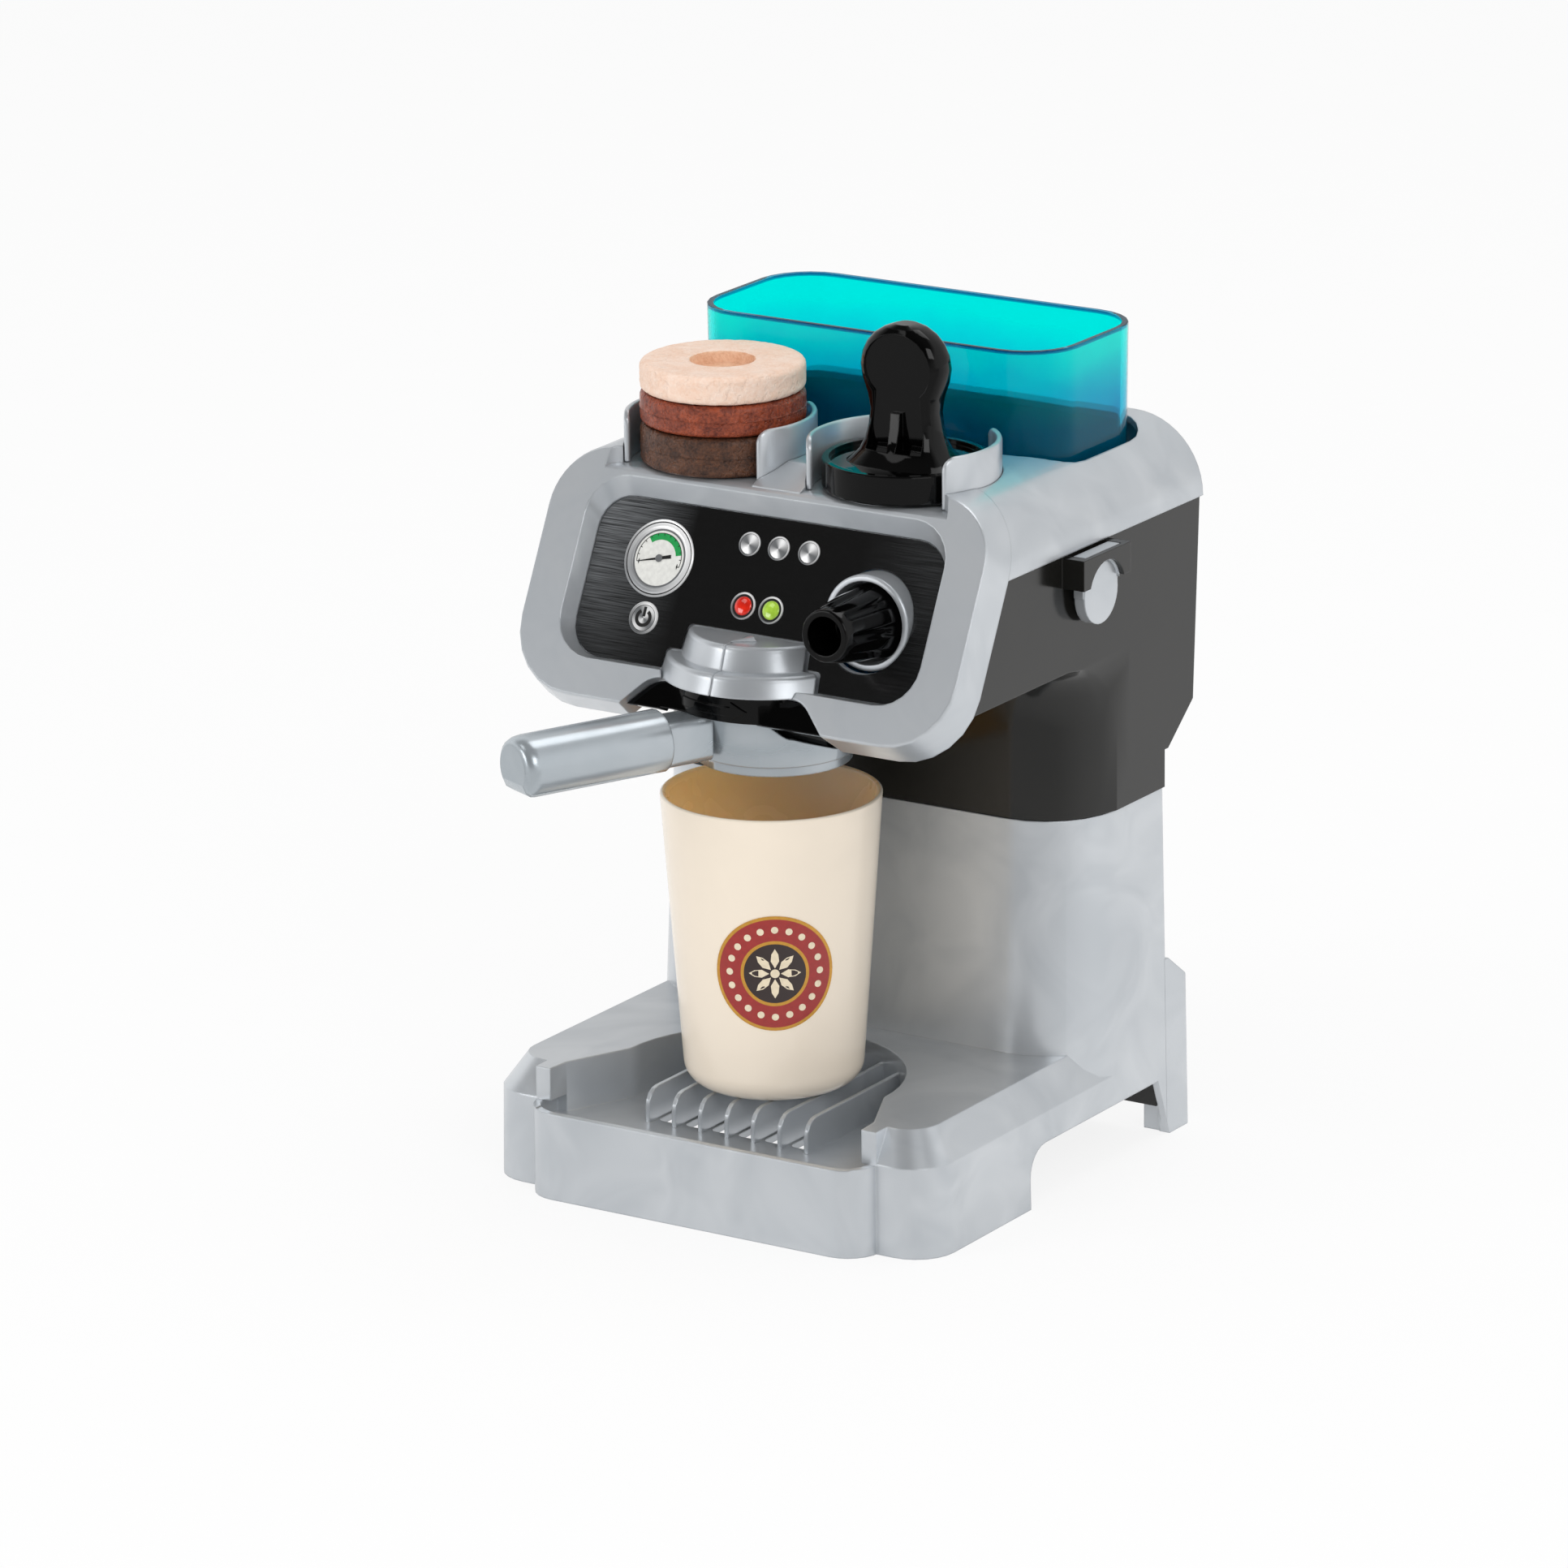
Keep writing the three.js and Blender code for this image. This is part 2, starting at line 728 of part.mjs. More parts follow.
// Upper body: the head over the cup and the neck that stands on the column. The neck flares
// forwards under the head, where its round corners run out into square ones.
function neckLevel(z, inset, flare = 0) {
  const outline = roundedRectangle(
    seamHalfWidth + (bodyHalfWidth - seamHalfWidth) * flare - inset,
    columnFrontAtSeam + (flareFront - columnFrontAtSeam) * flare + inset,
    columnBack - inset,
    columnCornerRadius + (flareCornerRadius - columnCornerRadius) * flare - inset,
    Math.max(columnBackRadius - inset, seam),
  );
  return { z, outline };
}

const flareLevels = (inset) =>
  flareShares.map((share) =>
    neckLevel(
      bodyUnderside - flareHeight * (1 - share) + inset / 2,
      inset,
      1 - Math.sqrt(1 - share ** 2),
    ),
  );

const frontYAt = (z, offset) =>
  plateTopY - (plateTopZ - z) * Math.tan(frontLean) - offset / Math.cos(frontLean);

function headProfile(inset) {
  const top = bodyTop + (inset ? overrun : 0);
  const low = bodyUnderside + inset;
  const front = (z) => frontYAt(z, -bezelDepth - seam) - (inset ? overrun : 0);
  return [
    point(front(low), low),
    point(columnBack - columnCornerRadius, low),
    point(columnBack - columnCornerRadius, neckBackHeight + inset),
    point(columnBack - inset, neckBackHeight + inset / 2),
    point(bodyBackLow - inset, bodyBackLowHeight + inset / 2),
    point(bodyBackTop - inset, top),
    point(front(top), top),
  ];
}

// A round bar along X on the side button's axis.
const sideways = (radius, left, right, steps = 32) =>
  crosswise(arc(buttonY, buttonZ, radius, 0, 2 * Math.PI, steps).slice(1), left, right);

function bridge() {
  const outer = bodyHalfWidth + bridgeReach;
  const block = crosswise(
    [
      point(buttonY - bridgeHalfLength, bridgeBottom),
      point(buttonY + bridgeHalfLength, bridgeBottom),
      point(buttonY + bridgeHalfLength, bridgeTop),
      point(buttonY - bridgeHalfLength, bridgeTop),
    ],
    bodyHalfWidth - wall / 2,
    outer,
  );
  const channel = crosswise(
    [
      point(buttonY - buttonTongueHalfWidth - running, bridgeBottom - overrun),
      point(buttonY + buttonTongueHalfWidth + running, bridgeBottom - overrun),
      point(buttonY + buttonTongueHalfWidth + running, bridgeTop + overrun),
      point(buttonY - buttonTongueHalfWidth - running, bridgeTop + overrun),
    ],
    bodyHalfWidth,
    outer - bridgeSkin,
  );
  const bite = sideways(buttonRadius + 2 * running, bodyHalfWidth, outer + overrun);
  return cutBy(block, channel, bite);
}

// Spigot under the neck that fits inside the column.
function spigot() {
  const level = (z, inset) => ({ z, outline: columnOutline(seamHeight, inset) });
  const outer = joined(
    drafted([
      level(seamHeight - spigotDepth, wall + seam),
      level(seamHeight + 2 * wall, wall + seam),
    ]),
    drafted([level(seamHeight + wall, wall / 2), level(seamHeight + 2 * wall, wall / 2)]),
  );
  const inner = drafted([
    level(seamHeight - spigotDepth - overrun, 2 * wall),
    level(seamHeight + 2 * wall + overrun, 2 * wall),
  ]);
  const clearBack = upright(
    roundedRectangle(baseHalfWidth, coverFront - wall, legBack, wall, wall),
    seamHeight - spigotDepth - overrun,
    seamHeight + seam,
  );
  return cutBy(outer, inner, clearBack);
}

function tankShelf() {
  const outline = roundedRectangle(
    bodyHalfWidth - wall / 2,
    tankFront - 2 * wall,
    bodyBackLow - wall / 2,
    wall,
    wall,
  );
  return upright(outline, shelfHeight - wall, shelfHeight);
}

function upperBody() {
  const head = crosswise(headProfile(0), -bodyHalfWidth, bodyHalfWidth);
  const headHollow = crosswise(headProfile(wall), -bodyHalfWidth + wall, bodyHalfWidth - wall);
  const neck = drafted([
    neckLevel(seamHeight + seam, 0),
    ...flareLevels(0),
    neckLevel(bodyUnderside + wall, 0, 1),
  ]);
  const neckHollow = drafted([
    neckLevel(seamHeight - overrun, wall),
    ...flareLevels(wall),
    neckLevel(bodyUnderside + 2 * wall, wall, 1),
  ]);
  const groupHole = moved(disc(skirtInner, bodyUnderside - overrun, bodyUnderside + wall + overrun), 0, groupY, 0);
  const wellFloor = bodyHalfWidth - springWellDepth;
  const well = sideways(springWellRadius + wall / 2, wellFloor - wall / 2, bodyHalfWidth - wall / 2);
  const wellHollow = sideways(springWellRadius, wellFloor, bodyHalfWidth + overrun);
  const stemHole = sideways(buttonStemRadius + running, wellFloor - wall, bodyHalfWidth);
  const shell = cutBy(joined(head, neck), headHollow, neckHollow, groupHole);
  return cutBy(joined(shell, spigot(), tankShelf(), bridge(), well), wellHollow, stemHole);
}

const between = (from, to, share) => from + (to - from) * share;

// Outline of the frame round the black plate, in the front's own plane. It runs from the
// frame's rim, which follows the hood's round shoulders, to the edge of its face.
function bezelOutline(share, inset) {
  const half = between(hoodHalfWidth, faceHalfWidth, share) - inset;
  const low = between(bezelBottom, bezelBottom + faceInset, share) + inset;
  const high = between(slopeAt(hoodTop, -bezelDepth), slopeAt(hoodFrontTop, bezelRise), share) - inset;
  const lowRadius = bezelCornerRadius - inset;
  const across = between(hoodShoulderRadius, faceShoulderRadius, share) - inset;
  const along = between(hoodShoulderRadius / Math.cos(frontLean), faceShoulderRadius, share) - inset;
  const shoulder = arc(0, 0, 1, 0, Math.PI / 2, 2 * cornerSteps)
    .map((p) => point(half - across + across * p.x, high - along + along * p.y));
  const right = [...arc(half - lowRadius, low + lowRadius, lowRadius, -Math.PI / 2, 0), ...shoulder];
  return [...right, ...right.map((p) => point(-p.x, p.y)).reverse()];
}

function bezel() {
  const creaseShare = 1 - bezelCrease / (bezelRise + bezelDepth);
  const body = drafted([
    { z: -bezelDepth, outline: bezelOutline(0, -bezelLip) },
    { z: bezelRise - bezelCrease, outline: bezelOutline(creaseShare, 0) },
    { z: bezelRise, outline: bezelOutline(1, bezelCrease / 2) },
  ]);
  return placed(body, frontFrame);
}

// Front profile of the hood: a flat top between large round shoulders.
function hoodProfile(inset) {
  const radius = hoodShoulderRadius - inset;
  const half = hoodHalfWidth - inset;
  const top = hoodTop - inset;
  const low = bodyTop + seam - (inset ? overrun : 0);
  const shoulder = arc(half - radius, top - radius, radius, 0, Math.PI / 2, 2 * cornerSteps);
  const other = shoulder.map((p) => point(-p.x, p.y)).reverse();
  return [point(half, low), ...shoulder, ...other, point(-half, low)];
}

// The wedge above the hood's front, where the top slopes down to the bezel.
function frontSlope() {
  const far = frontYAt(hoodFrontTop, bezelDepth) - overrun;
  const rise = (hoodTop - hoodFrontTop) / (hoodSlopeBack - frontYAt(hoodFrontTop, 0));
  return crosswise(
    [
      point(hoodSlopeBack, hoodTop),
      point(hoodSlopeBack, hoodTop + overrun),
      point(far, hoodTop + overrun),
      point(far, hoodTop - rise * (hoodSlopeBack - far)),
    ],
    -hoodHalfWidth - overrun,
    hoodHalfWidth + overrun,
  );
}

const seatWallStart = -Math.PI / 2 + seatWallOpening / 2;
const seatWallSweep = 2 * Math.PI - seatWallOpening;

// C-shaped wall round a seat, open to the front, with its top corners rounded off at both ends.
function seatWall(x) {
  const middle = (seatWallInner + seatWallOuter) / 2;
  const endAngle = seatWallEndRadius / middle;
  const ends = seatWallEndShares.map((share) => share * endAngle);
  const rest = seatWallSweep - 2 * endAngle;
  const middles = Array.from(
    { length: seatWallSteps - 1 },
    (unused, i) => endAngle + (rest * (i + 1)) / seatWallSteps,
  );
  const angles = [...ends, ...middles, ...ends.map((angle) => seatWallSweep - angle).reverse()];
  const rings = angles.map((angle) => {
    const fromEnd = Math.min(angle, seatWallSweep - angle) * middle;
    const short = Math.max(seatWallEndRadius - fromEnd, 0);
    const drop = seatWallEndRadius - Math.sqrt(seatWallEndRadius ** 2 - short ** 2);
    const top = seatWallTop - drop;
    const at = (radius, z) =>
      new THREE.Vector3(
        x + radius * Math.cos(seatWallStart + angle),
        seatCentreY + radius * Math.sin(seatWallStart + angle),
        z,
      );
    return [
      at(seatWallInner, seatFloor + seam),
      at(seatWallOuter, seatFloor + seam),
      at(seatWallOuter, top),
      at(seatWallInner, top),
    ];
  });
  return skinned(rings);
}

// Flat seat sunk into the hood's top, and the groove round it that holds the foot of its wall.
function seatCut(x) {
  const clear = seam / seatWallInner;
  const round = disc(seatWallInner, seatFloor, seatWallTop);
  const groove = sector(
    seatWallInner - seam,
    seatWallOuter + seam,
    seatWallStart - clear,
    seatWallStart + seatWallSweep + clear,
    seatFloor,
    seatWallTop,
  );
  return moved(joined(round, groove), x, seatCentreY, 0);
}

// Level shelf along the front at the height of the seats, with a rounded front edge. Between
// the seats a ramp runs from it up to the top of the hood.
function shelfCut() {
  const edge = frontYAt(seatFloor - shelfEdgeDrop, bezelRise);
  const back = seatCentreY - seatWallInner * Math.cos(seatWallOpening / 2);
  const fall = arc(0, 0, 1, Math.PI, Math.PI / 2, 4)
    .map((p) => point(edge + shelfEdgeDepth * (p.x + 1), seatFloor - shelfEdgeDrop * (1 - p.y)));
  const above = hoodTop + overrun;
  const front = [point(edge - overrun, above), point(edge - overrun, seatFloor - shelfEdgeDrop), ...fall];
  const plan = upright(
    roundedRectangle(shelfHalfWidth, edge - 2 * overrun, back, wall, shelfCornerRadius),
    seatFloor - shelfEdgeDrop - overrun,
    above + overrun,
  );
  const level = crosswise([...front, point(back, seatFloor), point(back, above)], -reach, reach);
  const rampHigh = above + overrun;
  const gapHalf = seatCentreX - seatWallOuter * Math.sin(seatWallOpening / 2);
  const ramp = crosswise(
    [
      point(shelfRampFront, seatFloor),
      point(shelfRampBack, hoodTop),
      point(shelfRampBack, rampHigh),
      point(shelfRampFront, rampHigh),
    ],
    -gapHalf,
    gapHalf,
  );
  const ridge = crosswise(
    [
      point(shelfRampFront, seatFloor - overrun),
      point(shelfRampFront, seatFloor),
      point(shelfRampBack, hoodTop),
      point(shelfRampBack, seatFloor - overrun),
    ],
    -gapHalf,
    gapHalf,
  );
  return [cutBy(level.intersect(plan), ridge), ramp];
}

function tankSlot() {
  const halfWidth = tankHalfWidth + tankSlotSideGap;
  const front = tankFront - (tankFront - seatCentreY - seatWallOuter) / 2;
  const outline = roundedRectangle(halfWidth, front, tankBack + tankSlotGap, tankCornerRadius, tankCornerRadius);
  return upright(outline, bodyTop - overrun, hoodTop + overrun);
}

// Recess for the black plate, which widens to its mouth in the face of the frame.
function plateRecess() {
  const mouth = roundedRectangle(
    plateHalfWidth + mouthGrowth,
    -plateHeight - mouthDrop,
    mouthTop,
    mouthCornerRadius,
    mouthCornerRadius,
  );
  const foot = roundedRectangle(
    plateHalfWidth + seam,
    -plateHeight - seam,
    seam,
    plateCornerRadius,
    plateCornerRadius,
  );
  const recess = drafted([
    { z: -plateThickness - plateSunk - seam, outline: foot },
    { z: 0, outline: foot },
    { z: bezelRise, outline: mouth },
    { z: bezelRise + overrun, outline: mouth },
  ]);
  return placed(recess, frontFrame);
}

const notchHalfWidthAt = (v) =>
  between(notchTopHalfWidth, notchBottomHalfWidth, (notchTop - v) / (notchTop - bezelBottom));

// The notch under the plate in the front's own plane, with its two top corners rounded.
function notchOutline(low, inset) {
  const half = notchTopHalfWidth - inset;
  const top = notchTop - inset;
  const lowHalf = notchHalfWidthAt(low) - inset;
  const corner = point(half, top);
  const side = point(lowHalf, low).sub(corner).setLength(notchCornerReach).add(corner);
  const bend = new THREE.QuadraticBezierCurve(side, corner, point(half - notchCornerReach, top));
  const right = [point(lowHalf, low), ...bend.getPoints(cornerSteps)];
  return [...right, ...right.map((p) => point(-p.x, p.y)).reverse()];
}

const notch = () =>
  placed(
    upright(notchOutline(bezelBottom - overrun, 0), -bezelDepth - 3 * wall, bezelRise + overrun),
    frontFrame,
  );

// The knob's own frame: z along its nearly level axis, out of the front.
const knobOrigin = new THREE.Vector3(knobX, -knobDown, 0).applyMatrix4(frontFrame);
const knobFrame = new THREE.Matrix4()
  .makeBasis(
    new THREE.Vector3(1, 0, 0),
    new THREE.Vector3(0, Math.sin(knobRise), Math.cos(knobRise)),
    new THREE.Vector3(0, -Math.cos(knobRise), Math.sin(knobRise)),
  )
  .setPosition(knobOrigin);

// Pieces that turn with the portafilter are made pointing ahead and turned into place.
const portafilterFrame = new THREE.Matrix4()
  .makeRotationZ(handleTurn)
  .setPosition(0, groupY, 0);

const bothSeats = (shape) => [-seatCentreX, seatCentreX].map(shape);

function hood() {
  const front = frontYAt(bodyTop, bezelDepth);
  const outer = lengthwise(hoodProfile(0), front, hoodBack).intersect(behind(-bezelDepth + seam));
  const inner = lengthwise(hoodProfile(wall), frontYAt(hoodTop, 0) - hoodTop / 2, hoodBack - wall);
  const ceiling = upright(
    roundedRectangle(hoodHalfWidth, -hoodHalfWidth, hoodSlopeBack, wall, wall),
    seatFloor - wall,
    hoodTop,
  );
  const hollow = cutBy(inner, ceiling).intersect(behind(-wall - plateThickness));
  const bezelHollow = placed(
    upright(
      roundedRectangle(
        bodyHalfWidth - 2 * wall,
        bezelBottom + bezelCornerRadius / 2,
        0,
        bezelCornerRadius / 2,
        bezelCornerRadius / 2,
      ),
      -bezelDepth - overrun,
      -wall - plateThickness,
    ),
    frontFrame,
  );
  const collarCut = moved(disc(collarRadius + running, 0, domeLow), 0, groupY, 0);
  const domeCut = moved(disc(domeRadius + seam, domeLow - seam, domeStep + seam), 0, domeY, 0)
    .intersect(aheadOf(0));
  const socketCut = placed(disc(socketRadius + seam, -socketDepth - overrun, socketRadius), knobFrame);
  const bodyClear = crosswise(headProfile(0), -bodyHalfWidth - wall, bodyHalfWidth + wall);
  const block = cutBy(joined(outer, bezel()), frontSlope(), shelfCut(), bothSeats(seatCut));
  const shell = cutBy(block, hollow, bezelHollow, bodyClear);
  return cutBy(shell, tankSlot(), plateRecess(), notch(), collarCut, domeCut, socketCut);
}

// Black front plate with cut-outs for the group head and the knob's socket.
function frontPlate() {
  const outline = roundedRectangle(plateHalfWidth, -plateHeight, 0, plateCornerRadius, plateCornerRadius);
  const low = -plateThickness - plateSunk;
  const plate = placed(upright(outline, low, -plateSunk), frontFrame);
  const dome = moved(domeSolid(-seam), 0, domeY, 0);
  const under = moved(disc(domeRadius + seam, 0, domeLow + seam), 0, domeY, 0);
  const socket = placed(disc(socketRadius + seam, -socketDepth - overrun, socketRadius), knobFrame);
  return cutBy(plate, dome, under, socket);
}

// The group head's two drafted steps about their own axis.
function domeSolid(inset) {
  const radiusAt = (radius, rise) => radius - inset - domeDraft * rise;
  const step = (radius, low, high) => {
    const rounding = arc(
      radiusAt(radius, high - low) - domeRounding,
      high - inset - domeRounding,
      domeRounding,
      0,
      Math.PI / 2,
      4,
    );
    return [[radiusAt(radius, 0), low], ...rounding.map((p) => [p.x, p.y])];
  };
  return turned(
    [
      [0, domeLow + inset],
      ...step(domeRadius, domeLow + inset, domeStep),
      ...step(domeUpperRadius, domeStep - inset, domeTop),
      [0, domeTop - inset],
    ],
    2 * roundSteps,
  );
}

function groupHead() {
  const line = upright(
    roundedRectangle(domeGrooveWidth / 2, -domeRadius - overrun, 0, 0, 0),
    domeLow - overrun,
    domeTop + overrun,
  );
  const groove = cutBy(line, domeSolid(domeGrooveDepth));
  return moved(cutBy(domeSolid(0), groove), 0, domeY, 0).intersect(aheadOf(seam));
}

// Where the wall of the bowl is at a height, from its foot band to its rim.
const bowlRadiusAt = (z) => {
  const low = bowlBottom + bowlFootBand;
  const grown = (z - low) / (collarBottom - seam - low);
  return bowlFootRadius + bowlWall / 2 + (bowlTopRadius - bowlFootRadius - bowlWall / 2) * grown;
};

// Black infill behind the notch in the bezel, on both sides of the collar, clear of the bowl
// and of the neck as it swings.
function notchWings() {
  const face = bezelRise - notchWingSunk;
  const outline = notchOutline(bezelBottom + wall, running);
  const apron = placed(upright(outline, face - wall, face), frontFrame);
  const bowl = disc(bowlTopRadius + 2 * running, 0, collarBottom);
  const bore = disc(collarRadius - wall, 0, bodyTop);
  const side = Math.asin((neckHalfWidth + 2 * running) / bowlTopRadius);
  const first = -Math.PI / 2 + handleTurn;
  const neck = sector(bowlFootRadius, gripEnd, first - side, first + handleRange + side, 0, neckTop + running);
  const above = upright(
    roundedRectangle(reach, -reach, reach, wall, wall),
    bodyUnderside - seam,
    bodyTop,
  );
  return cutBy(apron, moved(joined(bowl, bore, neck), 0, groupY, 0), above);
}

// Black cone inside the bowl, in the gap between two ledges, that shows above the bowl's ramp.
function collarInfill(firstLedge) {
  const outer = (z) => bowlInnerAt(z) - running;
  const cone = turned([
    [skirtInner, infillBottom],
    [outer(infillBottom), infillBottom],
    [outer(collarBottom), collarBottom],
    [outer(collarBottom), collarBottom + wall],
    [skirtInner, collarBottom + wall],
    [skirtInner, infillBottom],
  ]);
  const clear = running / skirtRadius;
  const span = sector(
    skirtInner - wall,
    collarRadius,
    firstLedge + ledgeArc + clear,
    firstLedge + (2 * Math.PI) / bayonetCount - clear,
    infillBottom - overrun,
    collarTop,
  );
  return cone.intersect(span);
}

function bayonetCollar() {
  const ring = turned([
    [skirtInner, skirtBottom],
    [skirtRadius, skirtBottom],
    [skirtRadius, collarBottom],
    [collarRadius, collarBottom],
    [collarRadius, collarTop],
    [skirtInner, collarTop],
    [skirtInner, skirtBottom],
  ]);
  const step = (2 * Math.PI) / bayonetCount;
  const first = -Math.PI / 2 + handleTurn + handleSwing - ledgeArc / 2;
  const ledges = Array.from({ length: bayonetCount }, (unused, i) =>
    sector(
      skirtInner + wall / 2,
      skirtRadius + bayonetHook,
      first + i * step,
      first + i * step + ledgeArc,
      skirtBottom,
      skirtBottom + ledgeThickness,
      10,
    ),
  );
  return joined(moved(joined(ring, ledges, collarInfill(first)), 0, groupY, 0), notchWings());
}

// Inside of the bowl's wall at a height.
const bowlInnerAt = (z) =>
  between(
    bowlFootRadius - bowlWall,
    bowlTopRadius - bowlWall,
    (z - bowlBottom - bowlWall) / (collarBottom - seam - bowlBottom - bowlWall),
  );

// What is cut off the bowl's rim: it drops in an S, falls on, stays level and rises again.
function bowlRamp() {
  const eased = (share) => share * share * (3 - 2 * share);
  const stepEnd = rampStepTurn;
  const slopeEnd = stepEnd + rampSlopeTurn;
  const levelEnd = slopeEnd + rampLevelTurn;
  const end = levelEnd + rampRiseTurn;
  const dropAt = (turn) => {
    if (turn < stepEnd) return rampStepDrop * eased(turn / stepEnd);
    if (turn < slopeEnd) return rampStepDrop + (rampSlopeDrop * (turn - stepEnd)) / rampSlopeTurn;
    if (turn < levelEnd) return rampStepDrop + rampSlopeDrop;
    return (rampStepDrop + rampSlopeDrop) * (1 - eased((turn - levelEnd) / rampRiseTurn));
  };
  const shares = Array.from({ length: roundSteps + 1 }, (unused, i) => i / roundSteps);
  const rings = shares.map((share) => {
    const turn = end * share;
    const angle = rampStart - handleTurn + turn;
    const low = collarBottom - seam - dropAt(turn);
    const at = (radius, z) => new THREE.Vector3(radius * Math.cos(angle), radius * Math.sin(angle), z);
    const inside = skirtInner;
    const outside = bowlTopRadius + overrun;
    const high = collarBottom + overrun;
    return [at(inside, low), at(outside, low), at(outside, high), at(inside, high)];
  });
  return skinned(rings);
}

// Portafilter bowl, neck and lugs, built with the handle straight ahead along -Y.
function filterBowl() {
  const inner = bowlTopRadius - bowlWall;
  const body = turned([
    [0, bowlBottom],
    [bowlFootRadius, bowlBottom],
    [bowlFootRadius, bowlBottom + bowlFootBand],
    [bowlFootRadius + bowlWall / 2, bowlBottom + bowlFootBand],
    [bowlTopRadius, collarBottom - seam],
    [inner, collarBottom - seam],
    [bowlFootRadius - bowlWall, bowlBottom + bowlWall],
    [0, bowlBottom + bowlWall],
  ]);
  const step = (2 * Math.PI) / bayonetCount;
  const lugLow = skirtBottom + ledgeThickness + seam;
  const lugs = Array.from({ length: bayonetCount }, (unused, i) => {
    const from = -Math.PI / 2 + i * step - lugArc / 2;
    return sector(
      skirtRadius + running,
      bowlRadiusAt(lugLow) - bowlWall / 2,
      from,
      from + lugArc,
      lugLow,
      lugLow + lugThickness,
      8,
    );
  });
  const neckOuter = lengthwise(
    roundedRectangle(neckHalfWidth, handleHeight - neckHalfHeight, neckTop, wall, wall),
    -gripStart - neckTongue,
    -inner - bowlWall / 2,
  );
  const tongueCut = lengthwise(
    roundedRectangle(neckHalfWidth - wall, handleHeight - neckHalfHeight + wall, handleHeight + neckHalfHeight - 2 * wall, wall, wall),
    -gripStart - neckTongue,
    -gripStart,
  );
  const tongueBand = lengthwise(
    roundedRectangle(gripRadius, handleHeight - gripRadius, handleHeight + gripRadius, wall, wall),
    -gripStart - neckTongue - overrun,
    -gripStart,
  );
  const neck = joined(cutBy(neckOuter, tongueBand), tongueCut);
  const screwTop = handleHeight - gripFlat + screwHeadHeight + screwLength;
  const tongueBore = moved(
    disc(screwRadius + seam, bowlBottom, screwTop + seam, 16),
    0,
    -gripStart - neckTongue / 2,
    0,
  );
  const spout = disc(bowlSpoutRadius, bowlBottom - overrun, bowlBottom + bowlWall + overrun, 16);
  return cutBy(joined(cutBy(body, bowlRamp()), lugs, neck), spout, tongueBore);
}

// D-shaped section of the grip, flat underneath.
function gripSection(shrink, y) {
  const radius = gripRadius - shrink;
  const flat = gripFlat - shrink;
  const turn = Math.asin(flat / gripRadius);
  const points = arc(0, 0, radius, -turn, Math.PI + turn, 20);
  return points.map((p) => new THREE.Vector3(p.x, y, handleHeight + p.y));
}

function handleGrip() {
  const nose = [0, 0.35, 0.75, 1].map((share) => {
    const shrink = gripNose * (1 - Math.sqrt(1 - share ** 2)) * 0.6;
    return gripSection(shrink, -(gripEnd - gripNose) - share * gripNose);
  });
  const rings = [gripSection(0, -gripStart), ...nose];
  const socket = lengthwise(
    roundedRectangle(neckHalfWidth - wall + seam, handleHeight - neckHalfHeight + wall - seam, handleHeight + neckHalfHeight - 2 * wall + seam, wall, wall),
    -gripStart - neckTongue - seam,
    -gripStart + overrun,
  );
  const screwHole = moved(disc(screwRadius + seam, handleHeight - gripRadius - overrun, handleHeight, 16), 0, -gripStart - neckTongue / 2, 0);
  const headHole = moved(
    disc(screwHeadRadius + seam, handleHeight - gripRadius - overrun, handleHeight - gripFlat + screwHeadHeight + seam, 16),
    0,
    -gripStart - neckTongue / 2,
    0,
  );
  return cutBy(skinned(rings), socket, screwHole, headHole);
}

// Silver socket round the knob: its outer wall is cut off by the leaning front.
function knobSocket() {
  const floor = -socketDepth;
  const cup = turned([
    [knobStemRadius + running, floor],
    [socketRadius, floor],
    [socketRadius, socketReach - wall / 4],
    [socketRadius - wall / 4, socketReach],
    [socketRadius - socketWall, socketReach],
    [socketRadius - socketWall, floor + wall],
    [knobStemRadius + running, floor + wall],
    [knobStemRadius + running, floor],
  ]);
  return placed(cup, knobFrame);
}

function knobSolid() {
  const back = -knobSink;
  const steps = 8 * knobFlutes;
  const ring = (z, radius, flute) =>
    Array.from({ length: steps }, (unused, i) => {
      const angle = (2 * Math.PI * i) / steps;
      const groove = flute * Math.max(Math.cos(knobFlutes * angle), 0) ** 0.7;
      const r = radius - groove;
      return new THREE.Vector3(r * Math.cos(angle), r * Math.sin(angle), z);
    });
  const flangeTop = back + knobFlangeLength;
  const end = knobLength;
  const body = skinned([
    ring(back, knobBaseRadius, 0),
    ring(flangeTop, knobBaseRadius, 0),
    ring(flangeTop + knobFluteDepth, knobBaseRadius * 0.97, knobFluteDepth * 0.5),
    ring(flangeTop + 4 * knobFluteDepth, knobBaseRadius * 0.91, knobFluteDepth),
    ring(end - 3 * knobFluteDepth, knobEndRadius * 1.1, knobFluteDepth),
    ring(end - 2 * knobFluteDepth, knobEndRadius * 1.06, 0),
    ring(end - knobFluteDepth / 2, knobEndRadius, 0),
    ring(end, knobEndRadius * 0.95, 0),
  ]);
  const bore = disc(knobBore, end - knobBoreDepth, end + overrun, 24);
  const stem = disc(knobStemRadius, back - knobStemLength, back + wall, 24);
  const screwBore = disc(screwRadius + seam, back - knobStemLength - overrun, back, 16);
  return cutBy(joined(body, stem), bore, screwBore);
}

